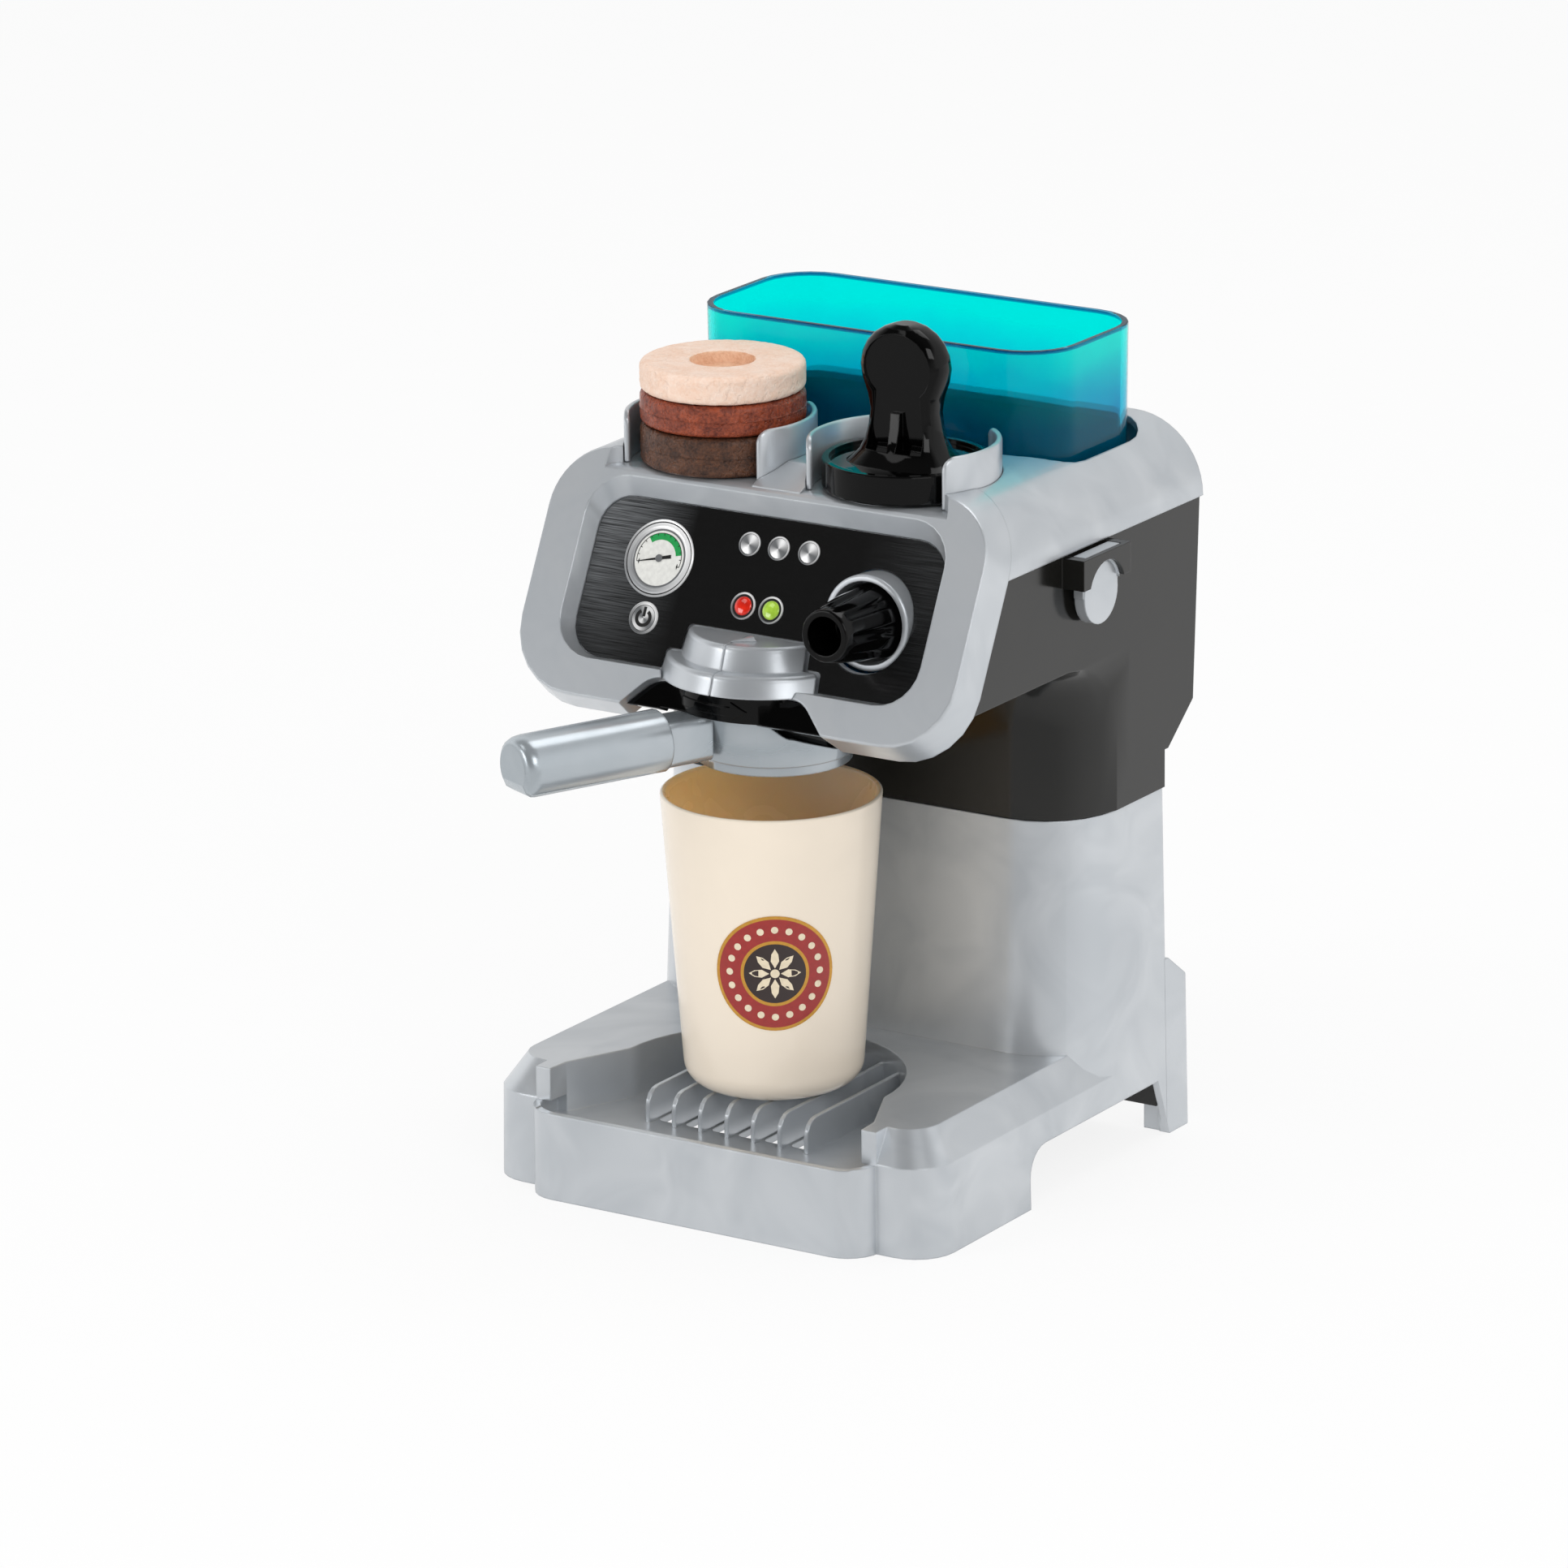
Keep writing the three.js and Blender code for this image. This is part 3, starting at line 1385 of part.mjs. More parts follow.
function buttonSolid() {
  const back = buttonFace - buttonThickness;
  const plate = sideways(buttonRadius, back, buttonFace);
  const tongue = crosswise(
    [
      point(buttonY - buttonTongueHalfWidth, buttonZ),
      point(buttonY + buttonTongueHalfWidth, buttonZ),
      point(buttonY + buttonTongueHalfWidth, bridgeTop),
      point(buttonY - buttonTongueHalfWidth, bridgeTop),
    ],
    back,
    bodyHalfWidth + bridgeReach - bridgeSkin - running,
  );
  const clear = sideways(buttonRadius + 2 * running, buttonFace - seam, buttonFace + overrun);
  const stem = sideways(buttonStemRadius, back - buttonStemLength, back + wall / 2, 24);
  const bore = sideways(screwRadius + seam, back - buttonStemLength - overrun, back - seam, 12);
  return cutBy(joined(plate, cutBy(tongue, clear), stem), bore);
}

// Screws and washers behind the button and the knob sit on the ends of their stems.
const stemEnd = buttonFace - buttonThickness - buttonStemLength;

function buttonWasher() {
  const right = stemEnd - seam;
  const ring = sideways(buttonWasherRadius, right - buttonWasherThickness, right, 24);
  return cutBy(ring, sideways(screwRadius + seam, right - overrun, right + overrun, 12));
}

function knobWasher() {
  const top = -knobSink - knobStemLength - seam;
  const ring = disc(buttonWasherRadius, top - buttonWasherThickness, top, 24);
  return placed(cutBy(ring, disc(screwRadius + seam, top - overrun, top + overrun, 12)), knobFrame);
}

// Coil spring between the floor of its well and the back of the button.
function buttonSpring() {
  const left = bodyHalfWidth - springWellDepth + springWire / 2 + seam;
  const right = buttonFace - buttonThickness - springWire / 2 - seam;
  const steps = springTurns * 12;
  const sides = 5;
  const rings = Array.from({ length: steps + 1 }, (unused, i) => {
    const angle = (2 * Math.PI * springTurns * i) / steps;
    const x = left + ((right - left) * i) / steps;
    return Array.from({ length: sides }, (alsoUnused, k) => {
      const around = (2 * Math.PI * k) / sides;
      const radius = springRadius + (springWire / 2) * Math.cos(around);
      return new THREE.Vector3(
        x + (springWire / 2) * Math.sin(around),
        buttonY + radius * Math.cos(angle),
        buttonZ + radius * Math.sin(angle),
      );
    });
  });
  return skinned(rings);
}

function waterTank() {
  const level = (z, inset) => {
    const drawn = (tankDraft * (tankTop - z)) / (tankTop - tankBottom);
    return {
      z,
      outline: roundedRectangle(
        tankHalfWidth - drawn - inset,
        tankFront + drawn + inset,
        tankBack - drawn - inset,
        tankCornerRadius - inset,
        tankCornerRadius - inset,
      ),
    };
  };
  const body = drafted([level(tankBottom, 0), level(tankTop, 0)]);
  return cutBy(body, drafted([level(tankBottom + tankWall, tankWall), level(tankTop + overrun, tankWall)]));
}

// Round pad with soft edges. A cream one has a dimple and the others a groove round the side.
function pad(bottom, height, dimpled) {
  const quarter = (z, from) =>
    arc(padRadius - padRounding, z, padRounding, from, from + Math.PI / 2, 4).map((p) => [p.x, p.y]);
  const middle = bottom + height / 2;
  const groove = dimpled
    ? []
    : [
        [padRadius, middle - padGrooveDepth],
        [padRadius - padGrooveDepth, middle],
        [padRadius, middle + padGrooveDepth],
      ];
  const top = bottom + height;
  const dimple = dimpled
    ? [
        [padDimpleRadius + padDimpleDepth / 2, top],
        [padDimpleRadius, top - padDimpleDepth / 2],
        [padDimpleRadius * 0.9, top - padDimpleDepth],
        [0, top - padDimpleDepth],
      ]
    : [[0, top]];
  const profile = [
    [0, bottom],
    ...quarter(bottom + padRounding, -Math.PI / 2),
    ...groove,
    ...quarter(top - padRounding, 0),
    ...dimple,
  ];
  return moved(turned(profile), -seatCentreX, seatCentreY + seatBack, 0);
}

const darkPadBottom = seatFloor + seam;
const redPadBottom = darkPadBottom + darkPadHeight + seam;
const creamPadBottom = redPadBottom + redPadHeight + seam;

// The tamper's grip in plan: an oval with the given half width and half depth.
const tamperLevel = (height, halfWidth, halfDepth) => ({
  z: seatFloor + seam + height,
  outline: arc(0, 0, 1, 0, 2 * Math.PI, 32)
    .slice(1)
    .map((p) => {
      const square = (value) => Math.sign(value) * Math.abs(value) ** 0.7;
      return point(halfWidth * square(p.x), halfDepth * square(p.y));
    }),
});

function tamperGrip() {
  const low = tamperDiscHeight - tamperDishDepth - seam;
  const flare = tamperNeckHeight - low;
  const foot = [0, 0.1, 0.25, 0.45, 0.7, 1].map((share) => {
    const left = (1 - share) ** 2.4;
    return tamperLevel(
      low + flare * share,
      tamperNeckHalfWidth + (tamperFootHalfWidth - tamperNeckHalfWidth) * left,
      tamperNeckHalfDepth + (tamperFootHalfDepth - tamperNeckHalfDepth) * left,
    );
  });
  const swell = tamperHeadHeight - tamperNeckHeight;
  const neck = [0.35, 0.7, 1].map((share) => {
    const grown = Math.sin((share * Math.PI) / 2) ** 2;
    return tamperLevel(
      tamperNeckHeight + swell * share,
      tamperNeckHalfWidth + (tamperHeadHalfWidth - tamperNeckHalfWidth) * grown,
      tamperNeckHalfDepth + (tamperHeadHalfDepth - tamperNeckHalfDepth) * grown,
    );
  });
  const crown = tamperHeight - tamperHeadHeight;
  const head = [0.3, 0.55, 0.75, 0.9, 0.98].map((share) => {
    const shrink = Math.sqrt(1 - share ** 2);
    const thin = Math.sqrt(shrink);
    return tamperLevel(tamperHeadHeight + crown * share, tamperHeadHalfWidth * shrink, tamperHeadHalfDepth * thin);
  });
  return drafted([...foot, ...neck, ...head]);
}

// Keyhole recess in the tamper's face: a round head over a narrow throat that widens to the foot.
function tamperRecess() {
  const bottom = seatFloor + seam;
  const headRadius = tamperHeadHalfWidth - tamperRecessBorder;
  const throat = tamperNeckHalfWidth - tamperRecessBorder;
  const foot = tamperDiscHeight + tamperRecessBorder;
  const centre = bottom + tamperHeadHeight;
  const start = Math.asin(throat / headRadius);
  const round = arc(0, centre, headRadius, -Math.PI / 2 + start, 1.5 * Math.PI - start, 20);
  const outline = [
    point(throat * 1.3, bottom + foot),
    point(throat, bottom + tamperNeckHeight),
    ...round,
    point(-throat, bottom + tamperNeckHeight),
    point(-throat * 1.3, bottom + foot),
  ];
  const deep = tamperNeckHalfDepth - tamperRecessDepth;
  const rib = crosswise(
    [
      point(-tamperFootHalfDepth, bottom + foot - overrun),
      point(tamperFootHalfDepth, bottom + foot - overrun),
      point(tamperFootHalfDepth, bottom + tamperNeckHeight),
      point(-tamperFootHalfDepth, bottom + tamperNeckHeight),
    ],
    -tamperRecessDepth,
    tamperRecessDepth,
  );
  const faces = [
    lengthwise(outline, -tamperFootHalfDepth - overrun, -deep),
    lengthwise(outline, deep, tamperFootHalfDepth + overrun),
  ];
  return cutBy(joined(faces), rib);
}

function tamper() {
  const bottom = seatFloor + seam;
  const rim = bottom + tamperDiscHeight;
  const dish = rim - tamperDishDepth;
  const foot = arc(tamperRadius - tamperEdgeRadius, bottom + tamperEdgeRadius, tamperEdgeRadius, -Math.PI / 2, 0, 4);
  const base = turned([
    [0, bottom],
    ...foot.map((p) => [p.x, p.y]),
    [tamperRadius, rim - running],
    [tamperRadius - running, rim],
    [tamperRadius - tamperRimWidth, rim],
    [tamperRadius - tamperRimWidth, dish],
    [0, dish],
  ]);
  return moved(joined(base, cutBy(tamperGrip(), tamperRecess())), seatCentreX, seatCentreY + seatBack, 0);
}

function cup() {
  const bottom = ribTop + seam;
  const grow = (cupRimRadius - cupFootRadius) / (cupHeight - cupFootRounding);
  const outer = (height) => cupFootRadius + grow * (height - cupFootRounding);
  const foot = arc(cupFootRadius - cupFootRounding, cupFootRounding, cupFootRounding, -Math.PI / 2, 0)
    .map((p) => [p.x, p.y]);
  const bend = cupFootRounding - cupWall;
  const inside = arc(cupFootRadius - cupFootRounding, cupFootRounding, bend, 0, -Math.PI / 2, 4)
    .map((p) => [p.x, p.y]);
  const profile = [
    [0, cupWall / 2],
    [cupFootRadius - cupFootRounding - cupWall, cupWall / 2],
    ...foot,
    [outer(cupHeight) - cupWall / 8, cupHeight - cupWall / 4],
    [outer(cupHeight) - cupWall / 2, cupHeight],
    [outer(cupHeight) - cupWall, cupHeight - cupWall / 4],
    ...inside,
    [0, cupWall * 1.5],
  ];
  return moved(turned(profile, 64), cupX, cupY, bottom);
}

// Screws in place: the direction is where the shank points.
function screwAt(position, shank) {
  const turn = new THREE.Quaternion().setFromUnitVectors(new THREE.Vector3(0, 0, -1), shank);
  const matrix = new THREE.Matrix4().makeRotationFromQuaternion(turn).setPosition(position);
  return placed(screwSolid(), matrix);
}

const down = new THREE.Vector3(0, 0, -1);
const up = new THREE.Vector3(0, 0, 1);
const forward = new THREE.Vector3(0, -1, 0);
const right = new THREE.Vector3(1, 0, 0);

const coverScrew = ([x, z]) => screwAt(new THREE.Vector3(x, columnBack + seam, z), forward);

function knobScrew() {
  const top = -knobSink - knobStemLength - 2 * seam - buttonWasherThickness;
  return placed(screwAt(new THREE.Vector3(0, 0, top), up), knobFrame);
}

const buttonScrew = () =>
  screwAt(new THREE.Vector3(stemEnd - 2 * seam - buttonWasherThickness, buttonY, buttonZ), right);

const gripScrew = () =>
  screwAt(
    new THREE.Vector3(0, -gripStart - neckTongue / 2, handleHeight - gripFlat + screwHeadHeight),
    up,
  );

const pieces = [
  piece("base", base(), silverPlastic),
  piece("back_cover", backCover(), blackPlastic),
  piece("upper_body", upperBody(), blackPlastic),
  piece("hood", hood(), silverPlastic),
  piece("pad_seat_wall", seatWall(-seatCentreX), silverPlastic),
  piece("tamper_seat_wall", seatWall(seatCentreX), silverPlastic),
  piece("front_plate", frontPlate(), brushedBlack),
  piece("group_head", groupHead(), silverPlastic),
  piece("bayonet_collar", bayonetCollar(), glossBlackPlastic),
  piece("filter_bowl", placed(filterBowl(), portafilterFrame), brightSilverPlastic),
  piece("handle_grip", placed(handleGrip(), portafilterFrame), brightSilverPlastic),
  piece("handle_screw", placed(gripScrew(), portafilterFrame), screwSteel),
  piece("knob_socket", knobSocket(), silverPlastic),
  piece("control_knob", placed(knobSolid(), knobFrame), glossBlackPlastic),
  piece("knob_washer", knobWasher(), screwSteel),
  piece("knob_screw", knobScrew(), screwSteel),
  piece("side_button", buttonSolid(), silverPlastic),
  piece("button_washer", buttonWasher(), screwSteel),
  piece("button_screw", buttonScrew(), screwSteel),
  piece("button_spring", buttonSpring(), screwSteel),
  piece("water_tank", waterTank(), tankPlastic),
  piece("pad_dark", pad(darkPadBottom, darkPadHeight, false), padDarkBrown),
  piece("pad_red", pad(redPadBottom, redPadHeight, false), padRedBrown),
  piece("pad_cream", pad(creamPadBottom, creamPadHeight, true), padCream),
  piece("tamper", tamper(), glossBlackPlastic),
  piece("cup", cup(), creamPlastic),
];
coverBossPlaces.forEach((place, i) => {
  pieces.push(piece("cover_screw_" + (i + 1), coverScrew(place), screwSteel));
});

// The whole is shifted so that the middle of its footprint is the origin.
const machine = new THREE.Group();
machine.name = "toy_coffee_maker";
machine.add(...pieces);
const bounds = new THREE.Box3().setFromObject(machine);
const middle = bounds.getCenter(new THREE.Vector3());
machine.position.set(-middle.x, -middle.y, -bounds.min.z);
machine.updateMatrixWorld(true);

export default machine;
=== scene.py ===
# Looks of the toy espresso machine: moulded plastics, printed panel, tank, pads and cup.
import json
import math

import bmesh
import bpy
from bpy.props import FloatProperty, FloatVectorProperty, IntProperty, PointerProperty
from mathutils import Matrix, Vector, noise


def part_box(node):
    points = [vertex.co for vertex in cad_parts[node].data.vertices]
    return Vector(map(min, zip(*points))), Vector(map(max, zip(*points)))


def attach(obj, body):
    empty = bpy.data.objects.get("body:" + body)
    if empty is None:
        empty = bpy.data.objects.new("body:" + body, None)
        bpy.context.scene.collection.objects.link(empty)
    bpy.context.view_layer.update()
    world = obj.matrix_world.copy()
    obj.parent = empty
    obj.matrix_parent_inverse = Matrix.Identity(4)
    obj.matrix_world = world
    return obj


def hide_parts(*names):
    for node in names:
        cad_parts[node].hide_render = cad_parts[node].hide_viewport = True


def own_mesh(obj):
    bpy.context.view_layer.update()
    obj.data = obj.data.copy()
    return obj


bl_info = {
    "name": "Toy Espresso Machine",
    "version": (1, 0, 0),
    "blender": (4, 5, 0),
    "location": "View3D > Sidebar > Toy Machine",
    "description": "Dresses the toy espresso machine with its plastics, prints and small details",
    "category": "Object",
}

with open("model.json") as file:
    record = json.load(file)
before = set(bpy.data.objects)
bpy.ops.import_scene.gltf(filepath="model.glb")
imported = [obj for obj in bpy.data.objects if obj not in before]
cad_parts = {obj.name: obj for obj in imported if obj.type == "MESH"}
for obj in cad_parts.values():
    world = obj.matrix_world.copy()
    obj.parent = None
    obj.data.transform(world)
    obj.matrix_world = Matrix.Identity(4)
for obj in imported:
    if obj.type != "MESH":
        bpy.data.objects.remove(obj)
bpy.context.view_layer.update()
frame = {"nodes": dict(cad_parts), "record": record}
BODY_OF = {
    node: body for body, nodes in frame["record"]["behaviour"]["bodies"].items() for node in nodes
}
HOUSING = "housing"
MM = 0.001


def linear(code):
    """An sRGB hex colour as the linear one that a shader takes."""
    channels = [int(code[i : i + 2], 16) / 255 for i in (1, 3, 5)]
    return tuple(c / 12.92 if c <= 0.04045 else ((c + 0.055) / 1.055) ** 2.4 for c in channels)


def rgba(colour):
    """A colour with its alpha."""
    return (*colour, 1.0)


def darker(colour, share):
    """A colour that keeps a share of its brightness."""
    return tuple(channel * share for channel in colour)


# Places in the frame, from the boxes of the CAD pieces
PLATE_LOW, PLATE_HIGH = (Vector(corner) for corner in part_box("front_plate"))
BASE_HIGH = Vector(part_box("base")[1])
CUP_LOW, CUP_HIGH = (Vector(corner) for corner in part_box("cup"))
TANK_HIGH = Vector(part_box("water_tank")[1])
TAMPER_LOW, TAMPER_HIGH = [Vector(corner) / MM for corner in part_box("tamper")]
MIDDLE_X = (PLATE_LOW.x + PLATE_HIGH.x) / 2

# The machine's own zero in Y, and the upright axis of the group head ahead of it
LEG_BACK = 118 * MM
GROUP_AHEAD = 5.3 * MM
AXIS_Y = BASE_HIGH.y - LEG_BACK
GROUP_Y = AXIS_Y - GROUP_AHEAD

# The panel leans back. The plate's face and its back lie this far under the panel's plane.
LEAN = math.radians(26.7)
PLATE_SUNK = 0.4 * MM
PLATE_BACK = 1.2 * MM
UP_SLOPE = Vector((0, math.sin(LEAN), math.cos(LEAN)))
OUT = Vector((0, -math.cos(LEAN), math.sin(LEAN)))
PANEL_TOP = Vector(
    (
        MIDDLE_X,
        PLATE_HIGH.y - PLATE_BACK * math.cos(LEAN),
        PLATE_HIGH.z + PLATE_SUNK * math.sin(LEAN),
    )
)


def on_panel(x, v):
    """Maps millimetres on the print, centred on (x, v) of the panel, to the frame."""

    def place(point):
        across, up, out = point
        return (
            PANEL_TOP
            + Vector(((x + across) * MM, 0, 0))
            + UP_SLOPE * (v + up) * MM
            + OUT * (out * MM - PLATE_SUNK)
        )

    return place


# Materials

NOISE = "ShaderNodeTexNoise"
RANGE = "ShaderNodeMapRange"
MIX = "ShaderNodeMix"
MIX_SHADER = "ShaderNodeMixShader"
MATH = "ShaderNodeMath"
VECTOR_MATH = "ShaderNodeVectorMath"
SEPARATE = "ShaderNodeSeparateXYZ"
LIGHT_PATH = "ShaderNodeLightPath"
# Sockets of Map Range, and of Mix, which takes numbers and colours at different places
VALUE, FROM_LOW, FROM_HIGH, TO_LOW, TO_HIGH = range(5)
SHARE, NUMBER_A, NUMBER_B, COLOUR_A, COLOUR_B = 0, 2, 3, 6, 7


def add(tree, kind, inputs=None, **settings):
    """Adds a node with its settings, and fills its inputs or links them to sockets or nodes."""
    node = tree.nodes.new(kind)
    for name, value in settings.items():
        setattr(node, name, value)
    for key, value in (inputs or {}).items():
        if isinstance(value, bpy.types.Node):
            value = value.outputs[0]
        if isinstance(value, bpy.types.NodeSocket):
            tree.links.new(value, node.inputs[key])
        else:
            node.inputs[key].default_value = value
    return node


def blank(name):
    """A new material: gives it, its empty tree and its object coordinates."""
    material = bpy.data.materials.new(name)
    material.use_nodes = True
    tree = material.node_tree
    tree.nodes.clear()
    return material, tree, add(tree, "ShaderNodeTexCoord").outputs["Object"]


def finish(tree, share, first, second, inputs):
    """Ends a tree in one Principled shader, whose colour goes from first to second by a share."""
    tones = {SHARE: share, COLOUR_A: first, COLOUR_B: second}
    colour = add(tree, MIX, tones, data_type="RGBA").outputs[2]
    shader = add(tree, "ShaderNodeBsdfPrincipled", {"Base Color": colour, **inputs})
    add(tree, "ShaderNodeOutputMaterial", {"Surface": shader})


def relief(tree, height, depth, ease):
    """Raises the surface by a pattern and eases its edges, both in millimetres."""
    eased = add(tree, "ShaderNodeBevel", {"Radius": ease * MM}, samples=4)
    return add(tree, "ShaderNodeBump", {"Height": height, "Distance": depth * MM, "Normal": eased})


def pearl_abs(name, colour, shade, roughness, metallic):
    """Moulded ABS with mica: a soft metal sheen, with faint smears where the melt flowed."""
    material, tree, where = blank(name)
    # Smears 26 mm wide, which bend by up to 60 mm over stretches of 70 mm.
    drift = add(tree, NOISE, {"Vector": where, "Scale": 1 / (70 * MM), "Detail": 1.0})
    bend = {0: drift.outputs["Color"], 1: (60 * MM,) * 3}
    bent = add(tree, VECTOR_MATH, bend, operation="MULTIPLY")
    flow = add(tree, VECTOR_MATH, {0: where, 1: bent}, operation="ADD")
    smears = add(tree, NOISE, {"Vector": flow, "Scale": 1 / (26 * MM), "Distortion": 0.8})
    swirl = add(tree, RANGE, {VALUE: smears, FROM_LOW: 0.3, FROM_HIGH: 0.75})
    # The flakes are drawn at 0.6 mm, coarser than life, so that they show at all.
    flakes = add(tree, NOISE, {"Vector": where, "Scale": 1 / (0.6 * MM)})
    rough = {VALUE: swirl, TO_LOW: roughness + 0.04, TO_HIGH: roughness - 0.02}
    inputs = {
        "Metallic": metallic,
        "Roughness": add(tree, RANGE, rough),
        "Coat Weight": 0.3,
        "Coat Roughness": 0.14,
        "Normal": relief(tree, flakes, 0.006, 0.8),
    }
    finish(tree, swirl, rgba(shade), rgba(colour), inputs)
    return material


def gloss_abs(name, colour, bloom, roughness, waviness=0.02, shine=0.5, glow=None):
    """Moulded ABS from a polished tool: deep gloss with faint sink marks and a light haze."""
    material, tree, where = blank(name)
    cloud = {"Vector": where, "Scale": 1 / (35 * MM), "Detail": 3.0, "Distortion": 0.6}
    haze = add(tree, RANGE, {VALUE: add(tree, NOISE, cloud), FROM_LOW: 0.3, FROM_HIGH: 0.75})
    sinks = add(tree, NOISE, {"Vector": where, "Scale": 1 / (18 * MM), "Detail": 1.0})
    inputs = {
        "IOR": 1.53,
        "Specular IOR Level": shine,
        "Roughness": add(tree, RANGE, {VALUE: haze, TO_LOW: roughness, TO_HIGH: roughness * 1.6}),
        "Normal": relief(tree, sinks, waviness, 0.5),
        **(glow or {}),
    }
    finish(tree, haze, rgba(colour), rgba(bloom), inputs)
    return material


def brushed_print(colour, light):
    """Printed film over brushed metal: fine level lines across a black ground, with a painted
    highlight at both ends.
    """
    material, tree, where = blank("brushed_print")
    # Lines are 0.35 mm apart and run for centimetres along X.
    stretched = add(tree, "ShaderNodeMapping", {"Vector": where, "Scale": (1 / 45, 1, 1)})
    lines = add(tree, NOISE, {"Vector": stretched, "Scale": 1 / (0.35 * MM), "Detail": 3.0})
    clear = add(tree, RANGE, {VALUE: lines, FROM_LOW: 0.25, FROM_HIGH: 0.75})
    # A painted highlight lightens the lines towards the left end and the top, and a little towards
    # the right end.
    x, _, z = add(tree, SEPARATE, {0: where}).outputs
    across = add(tree, MATH, {0: x, 1: MIDDLE_X}, operation="SUBTRACT")
    left = add(tree, RANGE, {VALUE: across, FROM_LOW: -30 * MM, FROM_HIGH: -64 * MM})
    right = add(tree, RANGE, {VALUE: across, FROM_LOW: 35 * MM, FROM_HIGH: 75 * MM, TO_HIGH: 0.2})
    high = add(tree, RANGE, {VALUE: z, FROM_LOW: 185 * MM, FROM_HIGH: 226 * MM, TO_LOW: 0.25})
    ends = add(tree, MATH, {0: left, 1: right}, operation="MAXIMUM")
    lit = add(tree, MATH, {0: ends, 1: high}, operation="MULTIPLY")
    share = add(tree, MATH, {0: clear, 1: lit}, operation="MULTIPLY")
    inputs = {
        "Roughness": 0.2,
        "Specular IOR Level": 0.4,
        "Coat Weight": 0.1,
        "Coat Roughness": 0.08,
        "Normal": relief(tree, lines, 0.02, 0.3),
    }
    finish(tree, share, rgba(colour), rgba(light), inputs)
    return material


def tinted_san(name, colour, shaded_tone, edge):
    """Clear moulded SAN with a turquoise dye: light goes through, and its rim gathers the dye."""
    material, tree, where = blank(name)
    height = add(tree, SEPARATE, {0: where}).outputs[2]
    # A painted shade makes the tone deeper and bluer below where the seat ends behind the tank,
    # along a line that wavers by 3 mm.
    cloud = add(tree, NOISE, {"Vector": where, "Scale": 1 / (26 * MM)})
    waver = {VALUE: cloud, FROM_LOW: 0.3, FROM_HIGH: 0.7, TO_LOW: -3 * MM, TO_HIGH: 3 * MM}
    level = add(tree, MATH, {0: height, 1: add(tree, RANGE, waver)}, operation="ADD")
    upper = add(tree, RANGE, {VALUE: level, FROM_LOW: 252 * MM, FROM_HIGH: 272 * MM})
    tones = {SHARE: upper, COLOUR_A: rgba(shaded_tone), COLOUR_B: rgba(colour)}
    body = add(tree, MIX, tones, data_type="RGBA").outputs[2]
    low, high = TANK_HIGH.z - 1.3 * MM, TANK_HIGH.z - 1.0 * MM
    rim = add(tree, RANGE, {VALUE: height, FROM_LOW: low, FROM_HIGH: high})
    # The IOR is lower than SAN's 1.57, so that the seat behind the tank stays in view.
    inputs = {"Roughness": 0.0, "IOR": 1.2, "Transmission Weight": 0.92}
    finish(tree, rim, body, rgba(edge), inputs)
    return material


def pressed_foam(name, colour, shade, roughness, crumb, depth):
    """Pressed play coffee: crumbs and pits, with glints where the skin is smooth."""
    material, tree, where = blank(name)
    fine = add(tree, NOISE, {"Vector": where, "Scale": 1 / (crumb * MM), "Detail": 4.0})
    coarse = add(tree, NOISE, {"Vector": where, "Scale": 1 / (crumb * 2.4 * MM), "Detail": 3.0})
    broad = add(tree, NOISE, {"Vector": where, "Scale": 1 / (crumb * 5 * MM), "Detail": 3.0})
    pits = add(tree, RANGE, {VALUE: coarse, FROM_LOW: 0.52, FROM_HIGH: 0.7})
    crumbs = add(tree, RANGE, {VALUE: fine, FROM_LOW: 0.35, FROM_HIGH: 0.65})
    patch = add(tree, RANGE, {VALUE: broad, FROM_LOW: 0.35, FROM_HIGH: 0.65})
    height = add(tree, MATH, {0: fine, 1: pits}, operation="SUBTRACT")
    both = add(tree, MATH, {0: crumbs, 1: patch}, operation="ADD")
    share = add(tree, RANGE, {VALUE: both, FROM_HIGH: 1.7})
    rough = {VALUE: patch, TO_LOW: roughness + 0.15, TO_HIGH: roughness - 0.12}
    inputs = {
        "Specular IOR Level": 0.4,
        "Roughness": add(tree, RANGE, rough),
        "Normal": relief(tree, height, depth, 0.6),
    }
    finish(tree, share, rgba(shade), rgba(colour), inputs)
    return material


def print_ink(name, colour, roughness=0.3, metallic=0.0):
    """Printed ink under a gloss film, with the slight unevenness of a pad print."""
    material, tree, where = blank(name)
    cloud = add(tree, NOISE, {"Vector": where, "Scale": 1 / (1.5 * MM)})
    uneven = add(tree, RANGE, {VALUE: cloud, FROM_LOW: 0.3, FROM_HIGH: 0.7})
    inputs = {
        "Metallic": metallic,
        "Roughness": roughness,
        "Coat Weight": 0.5,
        "Coat Roughness": 0.08,
    }
    finish(tree, uneven, rgba(darker(colour, 0.86)), rgba(colour), inputs)
    return material


def spun_metal_painted_reflection(name, colour, shade, centre, wedges, turn):
    """Turned metal face with a painted reflection: light and dark wedges fan out from its middle.
    """
    material, tree, where = blank(name)
    local = add(tree, VECTOR_MATH, {0: where, 1: centre}, operation="SUBTRACT")
    x, _, z = add(tree, SEPARATE, {0: local}).outputs
    angle = add(tree, MATH, {0: z, 1: x}, operation="ARCTAN2")
    fan = {0: angle, 1: wedges, 2: -math.radians(turn)}
    wedge = add(tree, MATH, fan, operation="MULTIPLY_ADD")
    wave = add(tree, MATH, {0: wedge}, operation="SINE")
    share = add(tree, RANGE, {VALUE: wave, FROM_LOW: -0.9, FROM_HIGH: 0.9})
    finish(tree, share, rgba(shade), rgba(colour), {"Metallic": 0.4, "Roughness": 0.3})
    return material


